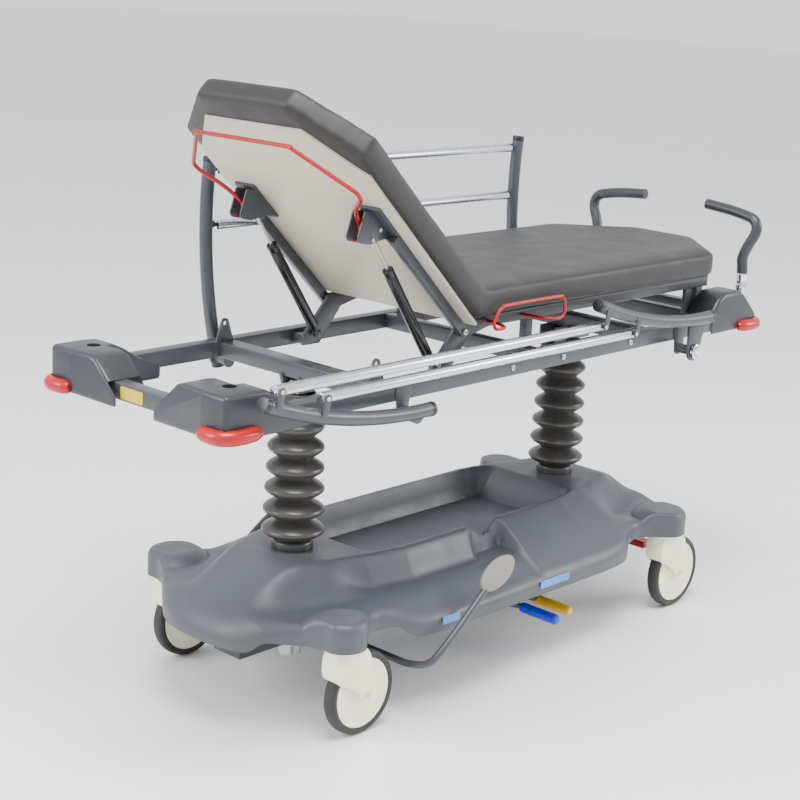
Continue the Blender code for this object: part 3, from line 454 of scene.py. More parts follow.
def finish(piece, name, body, material, *replaced, slot=None, angle=35.0):
    """Names a piece, gives it its look, and has it ride on its body in place of the CAD nodes it details."""
    if isinstance(piece, list):
        piece = join(name, piece)
    piece.name = name
    piece.data.name = name
    piece.data.materials.clear()
    piece.data.materials.append(MATERIALS[material])
    smooth(piece.data, angle)
    if body:
        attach(piece, body)
    if replaced:
        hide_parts(*replaced)
    return piece


def bolt(centre, axis, radius, height, recess=True):
    """A domed socket bolt head standing on a face."""
    depth, sunk = 0.002, -0.0004
    if recess:
        profile = [(0.0, height - depth), (radius * 0.42, height - depth), (radius * 0.48, height)]
    else:
        profile = [(0.0, height)]
    profile += [(radius * 0.72, height), (radius * 0.94, height * 0.75), (radius, height * 0.3),
                (radius, sunk), (0.0, sunk)]
    return move(turned(profile, 28), aimed(centre, axis))


def bolts(name, body, places, radius, height):
    made = [bolt(centre, axis, radius, height) for centre, axis in places]
    finish(made, name, body, "bolt_steel", slot="bright_steel")


# ---- base
def base_outline(samples):
    nose = [(0.800, 0.0), (0.793, 0.080), (0.768, 0.148), (0.724, 0.208), (0.690, 0.250)]
    lobe = arc((CASTOR_X, CASTOR_Y), TOWER_R, -15, 145, 4)
    flank = [(0.548, 0.303), (0.505, 0.287), (0.458, 0.300), (0.408, 0.327), (0.330, 0.338), (0.250, 0.3395),
             (0.170, 0.340), (0.085, 0.339), (0.0, 0.338)]
    quarter = nose + lobe + flank
    half = quarter + [(-x, y) for x, y in reversed(quarter[:-1])]
    loop = half + [(x, -y) for x, y in reversed(half[1:-1])]
    path = smooth_path([(x, y, 0.0) for x, y in loop[-2:] + loop + loop[:3]], samples)
    start = 2 * samples
    return [(p.x, p.y) for p in path[start:start + len(loop) * samples]]


def ease(start, end, value):
    """A smooth step from 0 at start to 1 at end, which may be below start."""
    t = max(0.0, min(1.0, (value - start) / (end - start)))
    return t * t * (3.0 - 2.0 * t)


def plateau_half(ax):
    """Half width of the raised middle, which narrows towards the nose."""
    stops = ((0.0, 0.172), (0.30, 0.172), (0.42, 0.150), (0.52, 0.118), (0.62, 0.085), (0.81, 0.050))
    for (x0, w0), (x1, w1) in zip(stops, stops[1:]):
        if ax <= x1:
            return w0 + (w1 - w0) * (ax - x0) / (x1 - x0)
    return stops[-1][1]


def cover_height(x, y):
    """A raised middle with a tray, sloped flanks, a lobe over each castor, and the near side's pocket."""
    ax, ay = abs(x), abs(y)
    plateau = 0.352 - 0.108 * ease(0.575, 0.830, ax)
    half = plateau_half(ax)
    if y < 0:
        middle, reach = (0.012, 0.036) if x > 0.012 else (-0.004, 0.060)
        plateau -= 0.034 * max(0.0, 1.0 - abs(x - middle) / reach)
    out = max(0.0, min(1.0, (ay - half) / (COVER_RIM_Y - half)))
    height = plateau - (plateau - RIM_Z) * out
    bank = 0.050 - 0.034 * ease(-0.085, -0.050, x)
    shelf = plateau + (0.283 - plateau) * ease(half, half + bank, ay) - 0.045 * ease(0.240, 0.345, ay)
    if y < 0:
        height += (shelf - height) * ease(0.060, 0.040, x)
    valley = plateau + (min(plateau, 0.272) - plateau) * ease(half, half + 0.090, ay)
    height += (valley - height) * ease(0.42, 0.54, ax)
    away = math.hypot(ax - CASTOR_X, ay - CASTOR_Y)
    height = max(height, 0.293 - 0.055 * ease(0.050, 0.150, away))
    tray = ease(half - 0.008, half - 0.040, ay) * (1.0 - ease(0.33, 0.40, ax))
    return height + (TRAY_Z - height) * tray


def skirt_bottom(x, y):
    beyond = max(0.0, math.hypot(abs(x) - CASTOR_X, abs(y) - CASTOR_Y) - 0.170)
    return SKIRT_Z + 0.030 * math.exp(-((beyond / 0.030) ** 2))


def base_cover():
    """Rings from a spine out to the rim, then down the skirt, closed over the spine and given a wall."""
    outline = base_outline(16)
    count = len(outline)
    half = count // 2
    top_steps, skirt_steps = 51, 7
    shape = bmesh.new()
    rings = []
    for k in range(top_steps + 1):
        t = 0.30 + 0.70 * (1.0 - (1.0 - k / top_steps) ** 1.7)
        row = []
        tops = []
        for x, y in outline:
            spine = max(-0.50, min(0.50, x * 0.75))
            px, py = spine + (x - spine) * t, y * t
            radius = 0.020 + 0.026 * ease(0.69, 0.77, abs(x))
            depth = max(0.0, radius - (1.0 - t) * math.hypot(x - spine, y))
            top = cover_height(px, py) - 0.0005 - (radius - math.sqrt(max(0.0, radius**2 - depth**2)))
            tops.append(top)
            row.append(shape.verts.new((px, py, top)))
        rings.append(row)
    for k in range(1, skirt_steps + 1):
        rings.append([shape.verts.new((x, y, top + (skirt_bottom(x, y) - top) * k / skirt_steps))
                      for (x, y), top in zip(outline, tops)])
    for inner, outer in zip(rings, rings[1:]):
        for k in range(count):
            n = (k + 1) % count
            shape.faces.new((inner[k], outer[k], outer[n], inner[n]))
    first = rings[0]
    shape.faces.new((first[0], first[1], first[-1]))
    shape.faces.new((first[half], first[half + 1], first[half - 1]))
    for k in range(1, half - 1):
        shape.faces.new((first[k], first[k + 1], first[count - k - 1], first[count - k]))
    bmesh.ops.recalc_face_normals(shape, faces=shape.faces)
    if max(shape.faces, key=lambda f: f.calc_center_median().z).normal.z < 0:
        bmesh.ops.reverse_faces(shape, faces=shape.faces)
    piece = as_piece("cover", shape)
    wall = piece.modifiers.new("wall", "SOLIDIFY")
    wall.thickness = COVER_WALL
    wall.offset = -1.0
    piece = settle(piece)
    holes = [rod((end * COLUMN_X, 0, 0.28), (end * COLUMN_X, 0, 0.42), 0.0350, sides=48)
             for end in ENDS.values()]
    piece = cut(piece, holes)
    finish(piece, "base_cover_shell", "base", "cover_plastic", "base_cover", angle=50.0)


def sticker(name, body, corners, material, slot, lift):
    """A thin blank patch standing a little off the surface it is stuck to."""
    corners = [Vector(p) for p in corners]
    out = (corners[1] - corners[0]).cross(corners[3] - corners[0]).normalized()
    shape = bmesh.new()
    low, high = ([shape.verts.new(p + out * offset) for p in corners] for offset in (0.0, lift))
    shape.faces.new(high)
    shape.faces.new(list(reversed(low)))
    for k in range(4):
        n = (k + 1) % 4
        shape.faces.new((low[k], low[n], high[n], high[k]))
    uprights = [e for e in shape.edges if abs((e.verts[0].co - e.verts[1].co).length - lift) < 1e-5]
    bmesh.ops.bevel(shape, geom=uprights, offset=0.004, segments=4, affect="EDGES", profile=0.5)
    finish(from_bmesh(name, shape), name, body, material, slot=slot)


def stickers():
    """Plain stickers with no marks: two on the near flank and one on the head cross bar."""
    for name, x0, x1 in (("flank_sticker_head", -0.335, -0.275), ("flank_sticker_foot", 0.030, 0.145)):
        corners = [(x, FLANK_LABEL_Y, z) for x, z in ((x0, 0.2130), (x1, 0.2130), (x1, 0.2330), (x0, 0.2330))]
        sticker(name, "base", corners, "label_blue", "cover_plastic", 0.0007)
    patch = ((0.068, 0.769), (-0.007, 0.769), (-0.007, 0.797), (0.068, 0.797))
    corners = [(BAR_LABEL_X, y, z) for y, z in patch]
    sticker("cross_bar_sticker", "deck", corners, "label_yellow", "frame_paint", 0.0006)


def bellows(end_name, end):
    """A boot of round lobes with tight valleys, a foot collar, and a clamp ring at each end."""
    bottom, top = BELLOWS_Z
    lobes, steps, valley = 7, 16, 0.0415
    pitch = (top - bottom - 0.018) / lobes
    profile = [(0.0395, top), (0.0435, top), (0.0435, top - 0.004)]
    for k in range(lobes):
        high = top - 0.004 - k * pitch
        lobe = 0.064 + 0.0115 * k / (lobes - 1)
        for j in range(steps):
            phase = j / steps
            wave = (0.5 - 0.5 * math.cos(2 * math.pi * phase)) ** 0.62
            profile.append((valley + (lobe - valley) * wave, high - pitch * phase * 0.985))
    profile += [(valley, bottom + 0.016), (0.0485, bottom + 0.013), (0.0495, bottom + 0.009),
                (0.0495, bottom - 0.0037), (0.0385, bottom - 0.0037), (0.0385, top), (0.0395, top)]
    piece = move(turned(profile, 72), Matrix.Translation((end * COLUMN_X, 0, 0)))
    finish(piece, f"bellows_boot_{end_name}", "base", "bellows_rubber", f"bellows_{end_name}", angle=60.0)
    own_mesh(piece)


def castor(end_name, end, side_name, side):
    x, y = end * CASTOR_X, side * CASTOR_Y
    wheel_x = x + CASTOR_TRAIL
    tag = f"{end_name}_{side_name}"
    hood_path = smooth_path([(px, pz, 0) for px, pz in
                             [(x - 0.036, 0.214), (x - 0.040, 0.185), (x - 0.039, 0.160), (x - 0.026, 0.143),
                              (x + 0.005, 0.128), (wheel_x - 0.022, 0.103), (wheel_x - 0.010, 0.087),
                              (wheel_x + 0.012, 0.087), (wheel_x + 0.019, 0.104), (x + 0.073, 0.150),
                              (x + 0.0755, 0.178), (x + 0.062, 0.207), (x + 0.038, 0.2185), (x, 0.2185)]], 5)
    hood = plate([(p.x, p.y) for p in hood_path], 0.0575, upright(y), 0.010, 4)
    neck = rod((x, y, 0.196), (x, y, 0.2338), 0.0405, sides=64, round_edge=0.002)
    hood = cut(hood, [neck], "UNION")
    hood = cut(hood, [rod((wheel_x, y - 0.0188, WHEEL_R), (wheel_x, y + 0.0188, WHEEL_R), 0.1036, sides=96)])
    finish(hood, f"castor_hood_{tag}", f"castor_{tag}", "castor_plastic", f"castor_fork_{tag}", angle=40.0)
    axle = [rod((wheel_x, y + s * 0.0275, WHEEL_R), (wheel_x, y + s * 0.0292, WHEEL_R), 0.0095,
                round_edge=0.0008) for s in (-1, 1)]
    axle.append(rod((wheel_x, y - 0.027, WHEEL_R), (wheel_x, y + 0.027, WHEEL_R), 0.006))
    finish(axle, f"castor_axle_{tag}", f"castor_{tag}", "bolt_steel", slot="bright_steel")
    lay = Matrix.Translation((wheel_x, y, WHEEL_R)) @ Matrix.Rotation(math.pi / 2, 4, "X")
    disc = [(0.0093, 0.0158), (0.019, 0.0158), (0.022, 0.0150), (0.026, 0.0115), (0.034, 0.0102),
            (0.060, 0.0098), (0.070, 0.0108), (0.0765, 0.0135), (0.0805, 0.0142), (0.0828, 0.0136)]
    disc += [(r, -z) for r, z in reversed(disc)] + [disc[0]]
    finish(move(turned(disc, 96), lay), f"wheel_disc_{tag}", f"wheel_{tag}", "castor_plastic", f"wheel_{tag}")
    tread = [(0.0831, 0.0150), (0.0860, 0.0162), (0.0905, 0.0168), (0.0945, 0.0158), (0.0975, 0.0132),
             (0.0992, 0.0090), (0.0999, 0.0045), (0.1000, 0.0)]
    tread += [(r, -z) for r, z in reversed(tread[:-1])] + [tread[0]]
    finish(move(turned(tread, 112), lay), f"tyre_ring_{tag}", f"wheel_{tag}", "tyre_rubber", f"tyre_{tag}",
           angle=50.0)


def pump_pedal(side_name, side):
    hinge = Vector((-0.420, side * 0.095, 0.130))
    route = [hinge, (-0.419, side * 0.250, 0.130), (-0.417, side * 0.315, 0.131),
             (-0.400, side * 0.360, 0.142), (-0.360, side * 0.3715, 0.175), (-0.270, side * 0.371, 0.245),
             (-0.210, side * 0.366, 0.287)]
    arm = tube(route, 0.0088, 8, 6)
    boss = rod(hinge - Vector((0, 0.016, 0)), hinge + Vector((0, 0.016, 0)), 0.0158, round_edge=0.001)
    body = f"pump_pedal_{side_name}"
    finish([arm, boss], f"pump_pedal_arm_{side_name}", body, "frame_paint", slot="pedal_grey")
    turn = Matrix.Translation((-0.176, side * 0.365, 0.311)) @ Matrix.Rotation(math.radians(-28), 4, "Y")
    turn = turn @ Matrix.Rotation(math.radians(-side * 62), 4, "X")
    pad = [plate(oval(0.0597, 0.0287, 72), 0.0155, turn, 0.005, 4)]
    for k in range(-4, 5):
        u = k * 0.0112
        reach = 0.0215 * math.sqrt(max(0.05, 1 - (u / 0.054) ** 2))
        rib = box((u - 0.0018, -reach, 0.0060), (u + 0.0018, reach, 0.0083), 0.0006, 1)
        pad.append(move(rib, turn))
    finish(pad, f"pump_pedal_pad_{side_name}", body, "pedal_grey", body)


def release_lever(colour, x, reach):
    hinge = Vector((x - 0.070, -0.105, 0.120))
    route = [hinge, (x - 0.050, -0.150, 0.112), (x, -0.200, 0.100), (x + 0.005, -reach + 0.10, 0.097)]
    arm = tube(route, 0.0074, 8, 6)
    boss = rod(hinge - Vector((0.014, 0, 0)), hinge + Vector((0.014, 0, 0)), 0.0128, round_edge=0.001)
    finish([arm, boss], f"lever_arm_{colour}", f"lever_{colour}", "frame_paint", slot=f"grip_{colour}")
    start, end = Vector((x + 0.002, -reach + 0.115, 0.098)), Vector((x + 0.012, -reach + 0.001, 0.092))
    length = (end - start).length
    profile = [(0.0, length), (0.006, length), (0.011, length - 0.003), (0.0136, length - 0.010)]
    for k in range(9):
        z = length - 0.016 - k * (length - 0.030) / 9
        profile += [(0.0136, z), (0.0128, z - 0.0012), (0.0136, z - 0.0024)]
    profile += [(0.0136, 0.006), (0.0120, 0.001), (0.0080, 0.0), (0.0, 0.0)]
    grip = turned(profile, 40)
    move(grip, aimed(start, end - start))
    finish(grip, f"lever_grip_{colour}", f"lever_{colour}", f"grip_{colour}", f"release_lever_{colour}")


def brake_pedal():
    x, _, z = BRAKE_SHAFT
    shaft = rod((x, -0.1195, z), (x, 0.1195, z), 0.0078, sides=6, round_edge=0.0006)
    finish(shaft, "brake_shaft", "brake_pedal", "bolt_steel", slot="red_paint")
    route = [(x, -0.105, z), (0.640, -0.110, 0.165), (0.690, -0.118, 0.146), (0.735, -0.125, 0.130)]
    arm = tube(route, 0.0079)
    tread = box((0.7155, -0.1745, 0.1185), (0.7545, -0.0855, 0.1375), 0.004, 3)
    grooves = [box((0.7175, -0.168 + k * 0.0155, 0.1368), (0.7525, -0.159 + k * 0.0155, 0.1379), 0.0004, 1)
               for k in range(6)]
    finish([arm, tread, *grooves], "brake_pedal_tread", "brake_pedal", "red_paint", "brake_pedal")


# ---- deck
def deck_frame():
    edge = 0.003
    low, high = 0.763, 0.803
    pieces = []
    for side in SIDES.values():
        pieces.append(box((-0.945, side * 0.270 - 0.018, low), (0.945, side * 0.270 + 0.018, high), edge))
        y = side * 0.205
        pieces.append(box((-0.100, y - 0.012, 0.872), (0.850, y + 0.012, 0.906), edge))
        for x in (0.070, 0.815):
            pieces.append(box((x - 0.014, y - 0.010, high - 0.010), (x + 0.014, y + 0.010, 0.880), 0.002))
        outline = [(-0.288, 0.769), (-0.232, 0.769), (-0.160, 0.856), (-0.070, 0.876), (-0.070, 0.8925),
                   (-0.197, 0.8925), (-0.2095, 0.8875), (-0.2145, 0.875), (-0.288, 0.792)]
        pieces.append(plate(outline, 0.010, upright(side * 0.2115), 0.0015, 2))
        pieces.append(side_box(side, (-0.283, 0.213, 0.7705), (-0.237, 0.254, 0.7945), 0.001, 2))
        for pin, end_y, radius in ((BACK_PIVOT, 0.2370, 0.006), (STRUT_FOOT, 0.1835, 0.0045)):
            pieces.append(rod((pin.x, side * 0.2115, pin.z), (pin.x, side * end_y, pin.z), radius))
        for post_x in (POST_X, POST_X + POST_SPACING):
            outline = [(post_x - 0.026, 0.800), *arc((post_x, POST_Z), 0.018, 200, 340, 20),
                       (post_x + 0.026, 0.800)]
            face = side * 0.289
            pieces.append(plate(outline, 0.005, upright(face), 0.001, 2))
            for end_y, radius in ((0.3300, 0.013), (0.3445, 0.0075)):
                pieces.append(rod((post_x, face, POST_Z), (post_x, side * end_y, POST_Z), radius,
                                  round_edge=0.001))
        outline = [(-0.543, 0.766), (-0.475, 0.766), (-0.481, 0.800),
                   *arc((-0.509, 0.846), 0.012, 10, 170, 16), (-0.537, 0.800)]
        pieces.append(plate(outline, 0.005, upright(side * 0.2505), 0.001, 2, [(-0.509, 0.846, 0.0055)]))
        cheek = [(-0.531, 0.770), (-0.521, 0.733), (-0.481, 0.733), (-0.471, 0.770)]
        pieces.append(plate(cheek, 0.010, upright(side * 0.030), 0.001, 2))
        pieces.append(side_box(side, (0.426, 0.0225, 0.7285), (0.576, 0.0285, 0.770), 0.001, 2))
        pieces.append(side_box(side, (0.764, 0.193, 0.8010), (0.829, 0.2048, 0.8790), 0.002))
    for x, half in ((-0.945, 0.018), (-COLUMN_X, 0.024), (0.070, 0.016), (COLUMN_X, 0.024), (0.815, 0.016),
                    (0.945, 0.018)):
        pieces.append(box((x - half, -0.262, low + 0.001), (x + half, 0.262, high - 0.001), edge))
    pieces.append(rod((-COLUMN_X, -0.038, 0.745), (-COLUMN_X, 0.038, 0.745), 0.008, round_edge=0.001))
    for y in (-0.10, 0.10):
        pieces.append(box((-0.090, y - 0.010, 0.880), (0.840, y + 0.010, 0.9065), 0.002))
    for x in (-0.080, 0.300, 0.600, 0.825):
        pieces.append(box((x - 0.010, -0.205, 0.878), (x + 0.010, 0.205, 0.900), 0.002))
    finish(pieces, "deck_frame", "deck", "frame_paint", "main_frame")
    places = []
    for side in SIDES.values():
        for x in (-0.075, 0.120, 0.400, 0.690):
            places.append(((x, side * 0.288, 0.783), (0, side, 0)))
        places.append(((BACK_PIVOT.x, side * 0.2370, BACK_PIVOT.z), (0, side, 0)))
        places.append(((-0.262, side * 0.2165, 0.800), (0, side, 0)))
    bolts("frame_bolts", "deck", places, 0.0075, 0.0045)


def corner_cover(end_name, end, side_name, side):
    out_y = 0.292
    if end_name == "head":
        out_x = 0.984
        across = [(0.060, 0.7496), (0.060, 0.774), (0.098, 0.812), (0.135, 0.846), (0.158, 0.8515),
                  (0.277, 0.8485), (0.277, 0.7496)]
        along = [(0.735, 0.749), (0.735, 0.788), (0.768, 0.796), (0.802, 0.811), (0.838, 0.834),
                 (0.868, 0.848), (0.900, 0.8500), (out_x, 0.850), (out_x, 0.749)]
        well = (0.915, 0.225, 0.016)
    else:
        out_x = 0.998
        across = [(0.100, 0.7526), (0.100, 0.780), (0.150, 0.806), (0.277, 0.812), (0.277, 0.7526)]
        along = [(0.770, 0.752), (0.770, 0.800), (0.785, 0.826), (0.805, 0.850), (0.832, 0.8635),
                 (0.905, 0.8638), (0.930, 0.852), (out_x, 0.792), (out_x, 0.752)]
        well = (*HANDLE_XY, 0.0175)
    end_leg = plate(across, 0.095, crosswise(out_x - 0.0481), 0.010, 4)
    rail_leg = plate(along, 0.086, upright(out_y - 0.043), 0.012, 5)
    shell = cut(rail_leg, [end_leg], "UNION")
    cavity = [box((0.70, 0.2105, 0.70), (out_x - 0.0048, 0.2885, 0.8035)),
              box((0.8925, -0.02, 0.69), (out_x - 0.0045, 0.2500, 0.8040)),
              rod((well[0], well[1], 0.790), (well[0], well[1], 0.900), well[2], sides=48)]
    if end_name == "foot":
        cavity.append(box((0.797, 0.19, 0.70), (0.833, 0.2160, 0.90)))
    shell = cut(shell, cavity)
    move(shell, Matrix.Diagonal((end, side, 1.0, 1.0)))
    tag = f"{end_name}_{side_name}"
    finish(shell, f"corner_shell_{tag}", "deck", "corner_plastic", f"corner_cover_{tag}", angle=30.0)


def bumper(end_name, end, side_name, side):
    out_x, out_y = (0.9843 if end_name == "head" else 0.9983), 0.2923
    path = [(out_x, 0.218), (out_x + 0.006, 0.240), (out_x + 0.008, 0.264), (out_x + 0.003, 0.283),
            (out_x - 0.012, out_y + 0.003), (out_x - 0.035, out_y + 0.008), (out_x - 0.065, out_y + 0.006),
            (out_x - 0.096, out_y)]
    piece = tube([(end * x, side * y, 0.764) for x, y in path], 0.0164, 8, 8,
                 radii=lambda t: 0.55 + 0.45 * min(1.0, math.sin(math.pi * t) * 3.0) ** 0.5)
    piece = cut(piece, [box((-out_x, -out_y, 0.70), (out_x, out_y, 0.90))])
    tag = f"{end_name}_{side_name}"
    finish(piece, f"bumper_pad_{tag}", "deck", "bumper_red", f"bumper_{tag}", angle=50.0)


def push_handle(side_name, side):
    x, y = HANDLE_XY
    route = [(x, y, 0.898), (0.961, 0.2535, 0.922), (0.962, 0.251, 0.945), (0.966, 0.262, 0.979),
             (0.971, 0.2775, 1.012), (0.974, 0.279, 1.034), (0.976, 0.269, 1.050), (0.978, 0.249, 1.058),
             (0.980, 0.190, 1.068), (0.982, 0.1065, 1.0755)]
    grip = tube([(px, side * py, pz) for px, py, pz in route], 0.0149, 8, 8)
    tip = rod((0.982, side * 0.112, 1.0755), (0.982, side * 0.1055, 1.0757), 0.0149, 0.011, round_edge=0.001)
    body = f"push_handle_{side_name}"
    finish([grip, tip], f"push_handle_tube_{side_name}", body, "corner_plastic", body)
    stem = rod((x, side * y, 0.8065), (x, side * y, 0.8985), 0.0125, round_edge=0.001)
    spool = turned([(0.0, 0.0440), (0.0148, 0.0440), (0.0163, 0.0425), (0.0163, 0.0395), (0.0146, 0.0330),
                    (0.0138, 0.0240), (0.0141, 0.0150), (0.0150, 0.0060), (0.0158, 0.0020), (0.0150, 0.0),
                    (0.0, 0.0)], 56)
    move(spool, Matrix.Translation((x, side * y, 0.8585)))
    finish([stem, spool], f"push_handle_stem_{side_name}", body, "chrome", slot="corner_plastic")


def wire_handle(side_name, side):
    y = side * 0.303
    loop = ((-0.160, 0.8895), (-0.171, 0.897), (-0.172, 0.908), (-0.160, 0.929), (-0.147, 0.939),
            (-0.125, 0.943), (0.060, 0.943), (0.079, 0.939), (0.089, 0.928), (0.092, 0.908), (0.088, 0.895),
            (0.074, 0.8895))
    route = [(-0.100, side * 0.2200, 0.889), (-0.112, side * 0.270, 0.889), (-0.128, side * 0.2985, 0.889),
             *((x, y, z) for x, z in loop),
             (0.048, side * 0.2985, 0.889), (0.036, side * 0.270, 0.889), (0.030, side * 0.2200, 0.889)]
    wire = tube(route, 0.0042, 5, 4)
    finish(wire, f"wire_loop_{side_name}", "deck", "red_paint", f"wire_handle_{side_name}")


def octagon(start_x, straight_x, end_x, half, end_half):
    return [(start_x, -half), (straight_x, -half), (end_x, -end_half), (end_x, end_half), (straight_x, half),
            (start_x, half)]


def boards():
    seat = plate(octagon(-0.115, 0.745, 0.925, PANEL_HALF, 0.100), 0.0075, level(0.91275), 0.0012, 2)
    finish(seat, "seat_panel", "deck", "chassis_paint", "seat_board", slot="board_laminate")
    back = plate(octagon(0.0, 0.526, 0.655, PANEL_HALF, 0.153), 0.008, BACK @ level(0.004), 0.0012, 2)
    finish(back, "backrest_panel", "backrest", "board_laminate", "backrest_board")


# ---- mattress
def mattress_path():
    """Stations along the mattress: a top point, a bottom point and a half width at each."""
    stations = []
    for k in range(45):
        x = 0.953 - (0.953 + 0.170) * k / 44
        half = MATTRESS_HALF - max(0.0, x - 0.765) / 0.188 * 0.194
        stations.append(((x, 0.982), (x, 0.9195), half))
    stations.append(((-0.1935, 0.983), (-0.2085, 0.9185), MATTRESS_HALF))
    for k in range(1, 30):
        u = 0.062 + (0.726 - 0.062) * k / 29
        half = MATTRESS_HALF - max(0.0, u - 0.587) / 0.139 * 0.153
        top, low = (BACK @ Vector((u, 0, n)) for n in (0.066, 0.0105))
        stations.append(((top.x, top.z), (low.x, low.z), half))
    return stations


def mattress_core():
    shape = bmesh.new()
    rows = []
    across = 12
    for (tx, tz), (bx, bz), half in mattress_path():
        steps = [-half + 2 * half * k / across for k in range(across + 1)]
        rows.append([shape.verts.new((tx, y, tz)) for y in steps]
                    + [shape.verts.new((bx, -y, bz)) for y in steps])
    count = len(rows[0])
    for a, b in zip(rows, rows[1:]):
        for k in range(count):
            n = (k + 1) % count
            shape.faces.new((a[k], b[k], b[n], a[n]))
    shape.faces.new(rows[0])
    shape.faces.new(list(reversed(rows[-1])))
    return from_bmesh("mattress", shape)


def remeshed(piece, voxel):
    remesh = piece.modifiers.new("remesh", "REMESH")
    remesh.mode = "VOXEL"
    remesh.voxel_size = voxel
    return settle(piece)


def puff(piece, pressure, cap, frames):
    """Blows a form up a little as cloth over foam, and keeps each point near where it started."""
    start = [v.co.copy() for v in piece.data.vertices]
    cloth = piece.modifiers.new("cloth", "CLOTH")
    cloth.settings.use_pressure = True
    cloth.settings.uniform_pressure_force = pressure
    cloth.settings.quality = 4
    cloth.settings.tension_stiffness = 18
    cloth.settings.compression_stiffness = 18
    cloth.settings.bending_stiffness = 0.6
    cloth.settings.effector_weights.gravity = 0.0
    scene = bpy.context.scene
    for number in range(1, frames + 1):
        scene.frame_set(number)
    bpy.context.view_layer.update()
    result = piece.evaluated_get(bpy.context.evaluated_depsgraph_get()).to_mesh()
    moved = [v.co.copy() for v in result.vertices]
    piece.modifiers.clear()
    scene.frame_set(1)
    for vertex, before, after in zip(piece.data.vertices, start, moved):
        shift = after - before
        vertex.co = before + shift * min(1.0, cap / max(shift.length, 1e-9))
    return piece


def mattress():
    piece = mattress_core()
    piece = puff(remeshed(piece, MATTRESS_VOXEL), 4.0, 0.006, 16)
    relax = piece.modifiers.new("relax", "SMOOTH")
    relax.factor = 0.5
    relax.iterations = 8
    divide = piece.modifiers.new("divide", "SUBSURF")
    divide.levels = 1
    divide.render_levels = 1
    piece = settle(piece)
    finish(piece, "mattress", None, "mattress_cover", "mattress_seat", "mattress_backrest", angle=80.0)
    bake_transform(piece)


# ---- backrest
def backrest_arm(side_name, side):
    pivot_u, pivot_n = -0.0164, -0.0134
    pieces = [side_box(side, (-0.012, 0.2175, -0.0255), (0.330, 0.2355, -0.0010), 0.002),
              rod((pivot_u, side * 0.2175, pivot_n), (pivot_u, side * 0.2355, pivot_n), 0.0120,
                  round_edge=0.001),
              side_box(side, (0.306, 0.1690, -0.0070), (0.420, 0.2345, -0.0006), 0.001),
              side_box(side, (0.306, 0.2060, -0.0200), (0.330, 0.2185, -0.0040), 0.001)]
    outline = [(0.306, -0.003), (0.334, -0.022), (0.350, -0.044), (0.362, -0.062),
               *arc((0.392, -0.066), 0.013, 240, 330, 10), (0.428, -0.022), (0.402, -0.003)]
    for y in (0.2075, 0.1725):
        pieces.append(plate(outline, 0.004, upright(side * y), 0.0008, 2))
    pieces = [move(piece, BACK) for piece in pieces]
    finish(pieces, f"backrest_bracket_{side_name}", "backrest", "frame_paint", f"backrest_arm_{side_name}")
    places = [(BACK @ Vector((u, side * 0.2095, n)), (0, side, 0))
              for u, n in ((0.361, -0.017), (0.363, -0.048))]
    bolts(f"bracket_bolts_{side_name}", "backrest", places, 0.0058, 0.0035)


def release_bar():
    n = -0.042
    half = [(0.372, 0.1890, -0.062), (0.378, 0.1890, -0.056), (0.392, 0.1895, -0.048), (0.410, 0.1945, n),
            (0.455, 0.214, n), (0.496, 0.254, n), (0.507, 0.2610, n), (0.519, 0.2625, n), (0.531, 0.257, n),
            (0.580, 0.2125, n), (0.640, 0.158, n), (0.6505, 0.146, n), (0.6525, 0.130, n)]
    route = half + [(u, -y, m) for u, y, m in reversed(half)]
    bar = tube([BACK @ Vector(p) for p in route], 0.0050, 6, 5)
    pins = [rod(*(BACK @ Vector((0.372, s * y, -0.062)) for y in (0.1750, 0.2050)), 0.0060) for s in (-1, 1)]
    finish([bar, *pins], "release_bar_tube", "release_bar", "red_paint", "release_bar")


def strut(side_name, side):
    y = side * STRUT_Y
    foot = Vector((STRUT_FOOT.x, y, STRUT_FOOT.z))
    head = BACK @ Vector((STRUT_HEAD[0], y, STRUT_HEAD[1]))
    run = (head - foot).normalized()
    half_eye = Vector((0, 0.0055, 0))
    profile = [(0.0, 0.288), (0.0050, 0.2900), (0.0120, 0.2900), (0.0133, 0.2885), (0.0133, 0.272),
               (0.0128, 0.2705), (0.0133, 0.269), (0.0133, 0.030), (0.0118, 0.0235), (0.0060, 0.0225),
               (0.0060, 0.006), (0.0, 0.006)]
    cylinder = move(turned(profile, 56), aimed(foot, run))
    eye = rod(foot - half_eye, foot + half_eye, 0.0104, round_edge=0.001)
    body = f"strut_cylinder_{side_name}"
    finish([cylinder, eye], f"strut_body_{side_name}", body, "strut_black", body)
    shaft = rod(foot + run * 0.236, head - run * 0.006, 0.0045, sides=32)
    eye = rod(head - half_eye, head + half_eye, 0.0079, round_edge=0.001)
    body = f"strut_rod_{side_name}"
    finish([shaft, eye], f"strut_shaft_{side_name}", body, "bright_steel", body)


# ---- side rails
def post_point(t, offset, y):
    """A point on a standing post's bowed centre line, t from 0 at its foot to 1 at its top."""
    return Vector((offset + 0.020 - 0.042 * t - 0.1008 * t * (1 - t), y, POST_FOOT + POST_LENGTH * t))


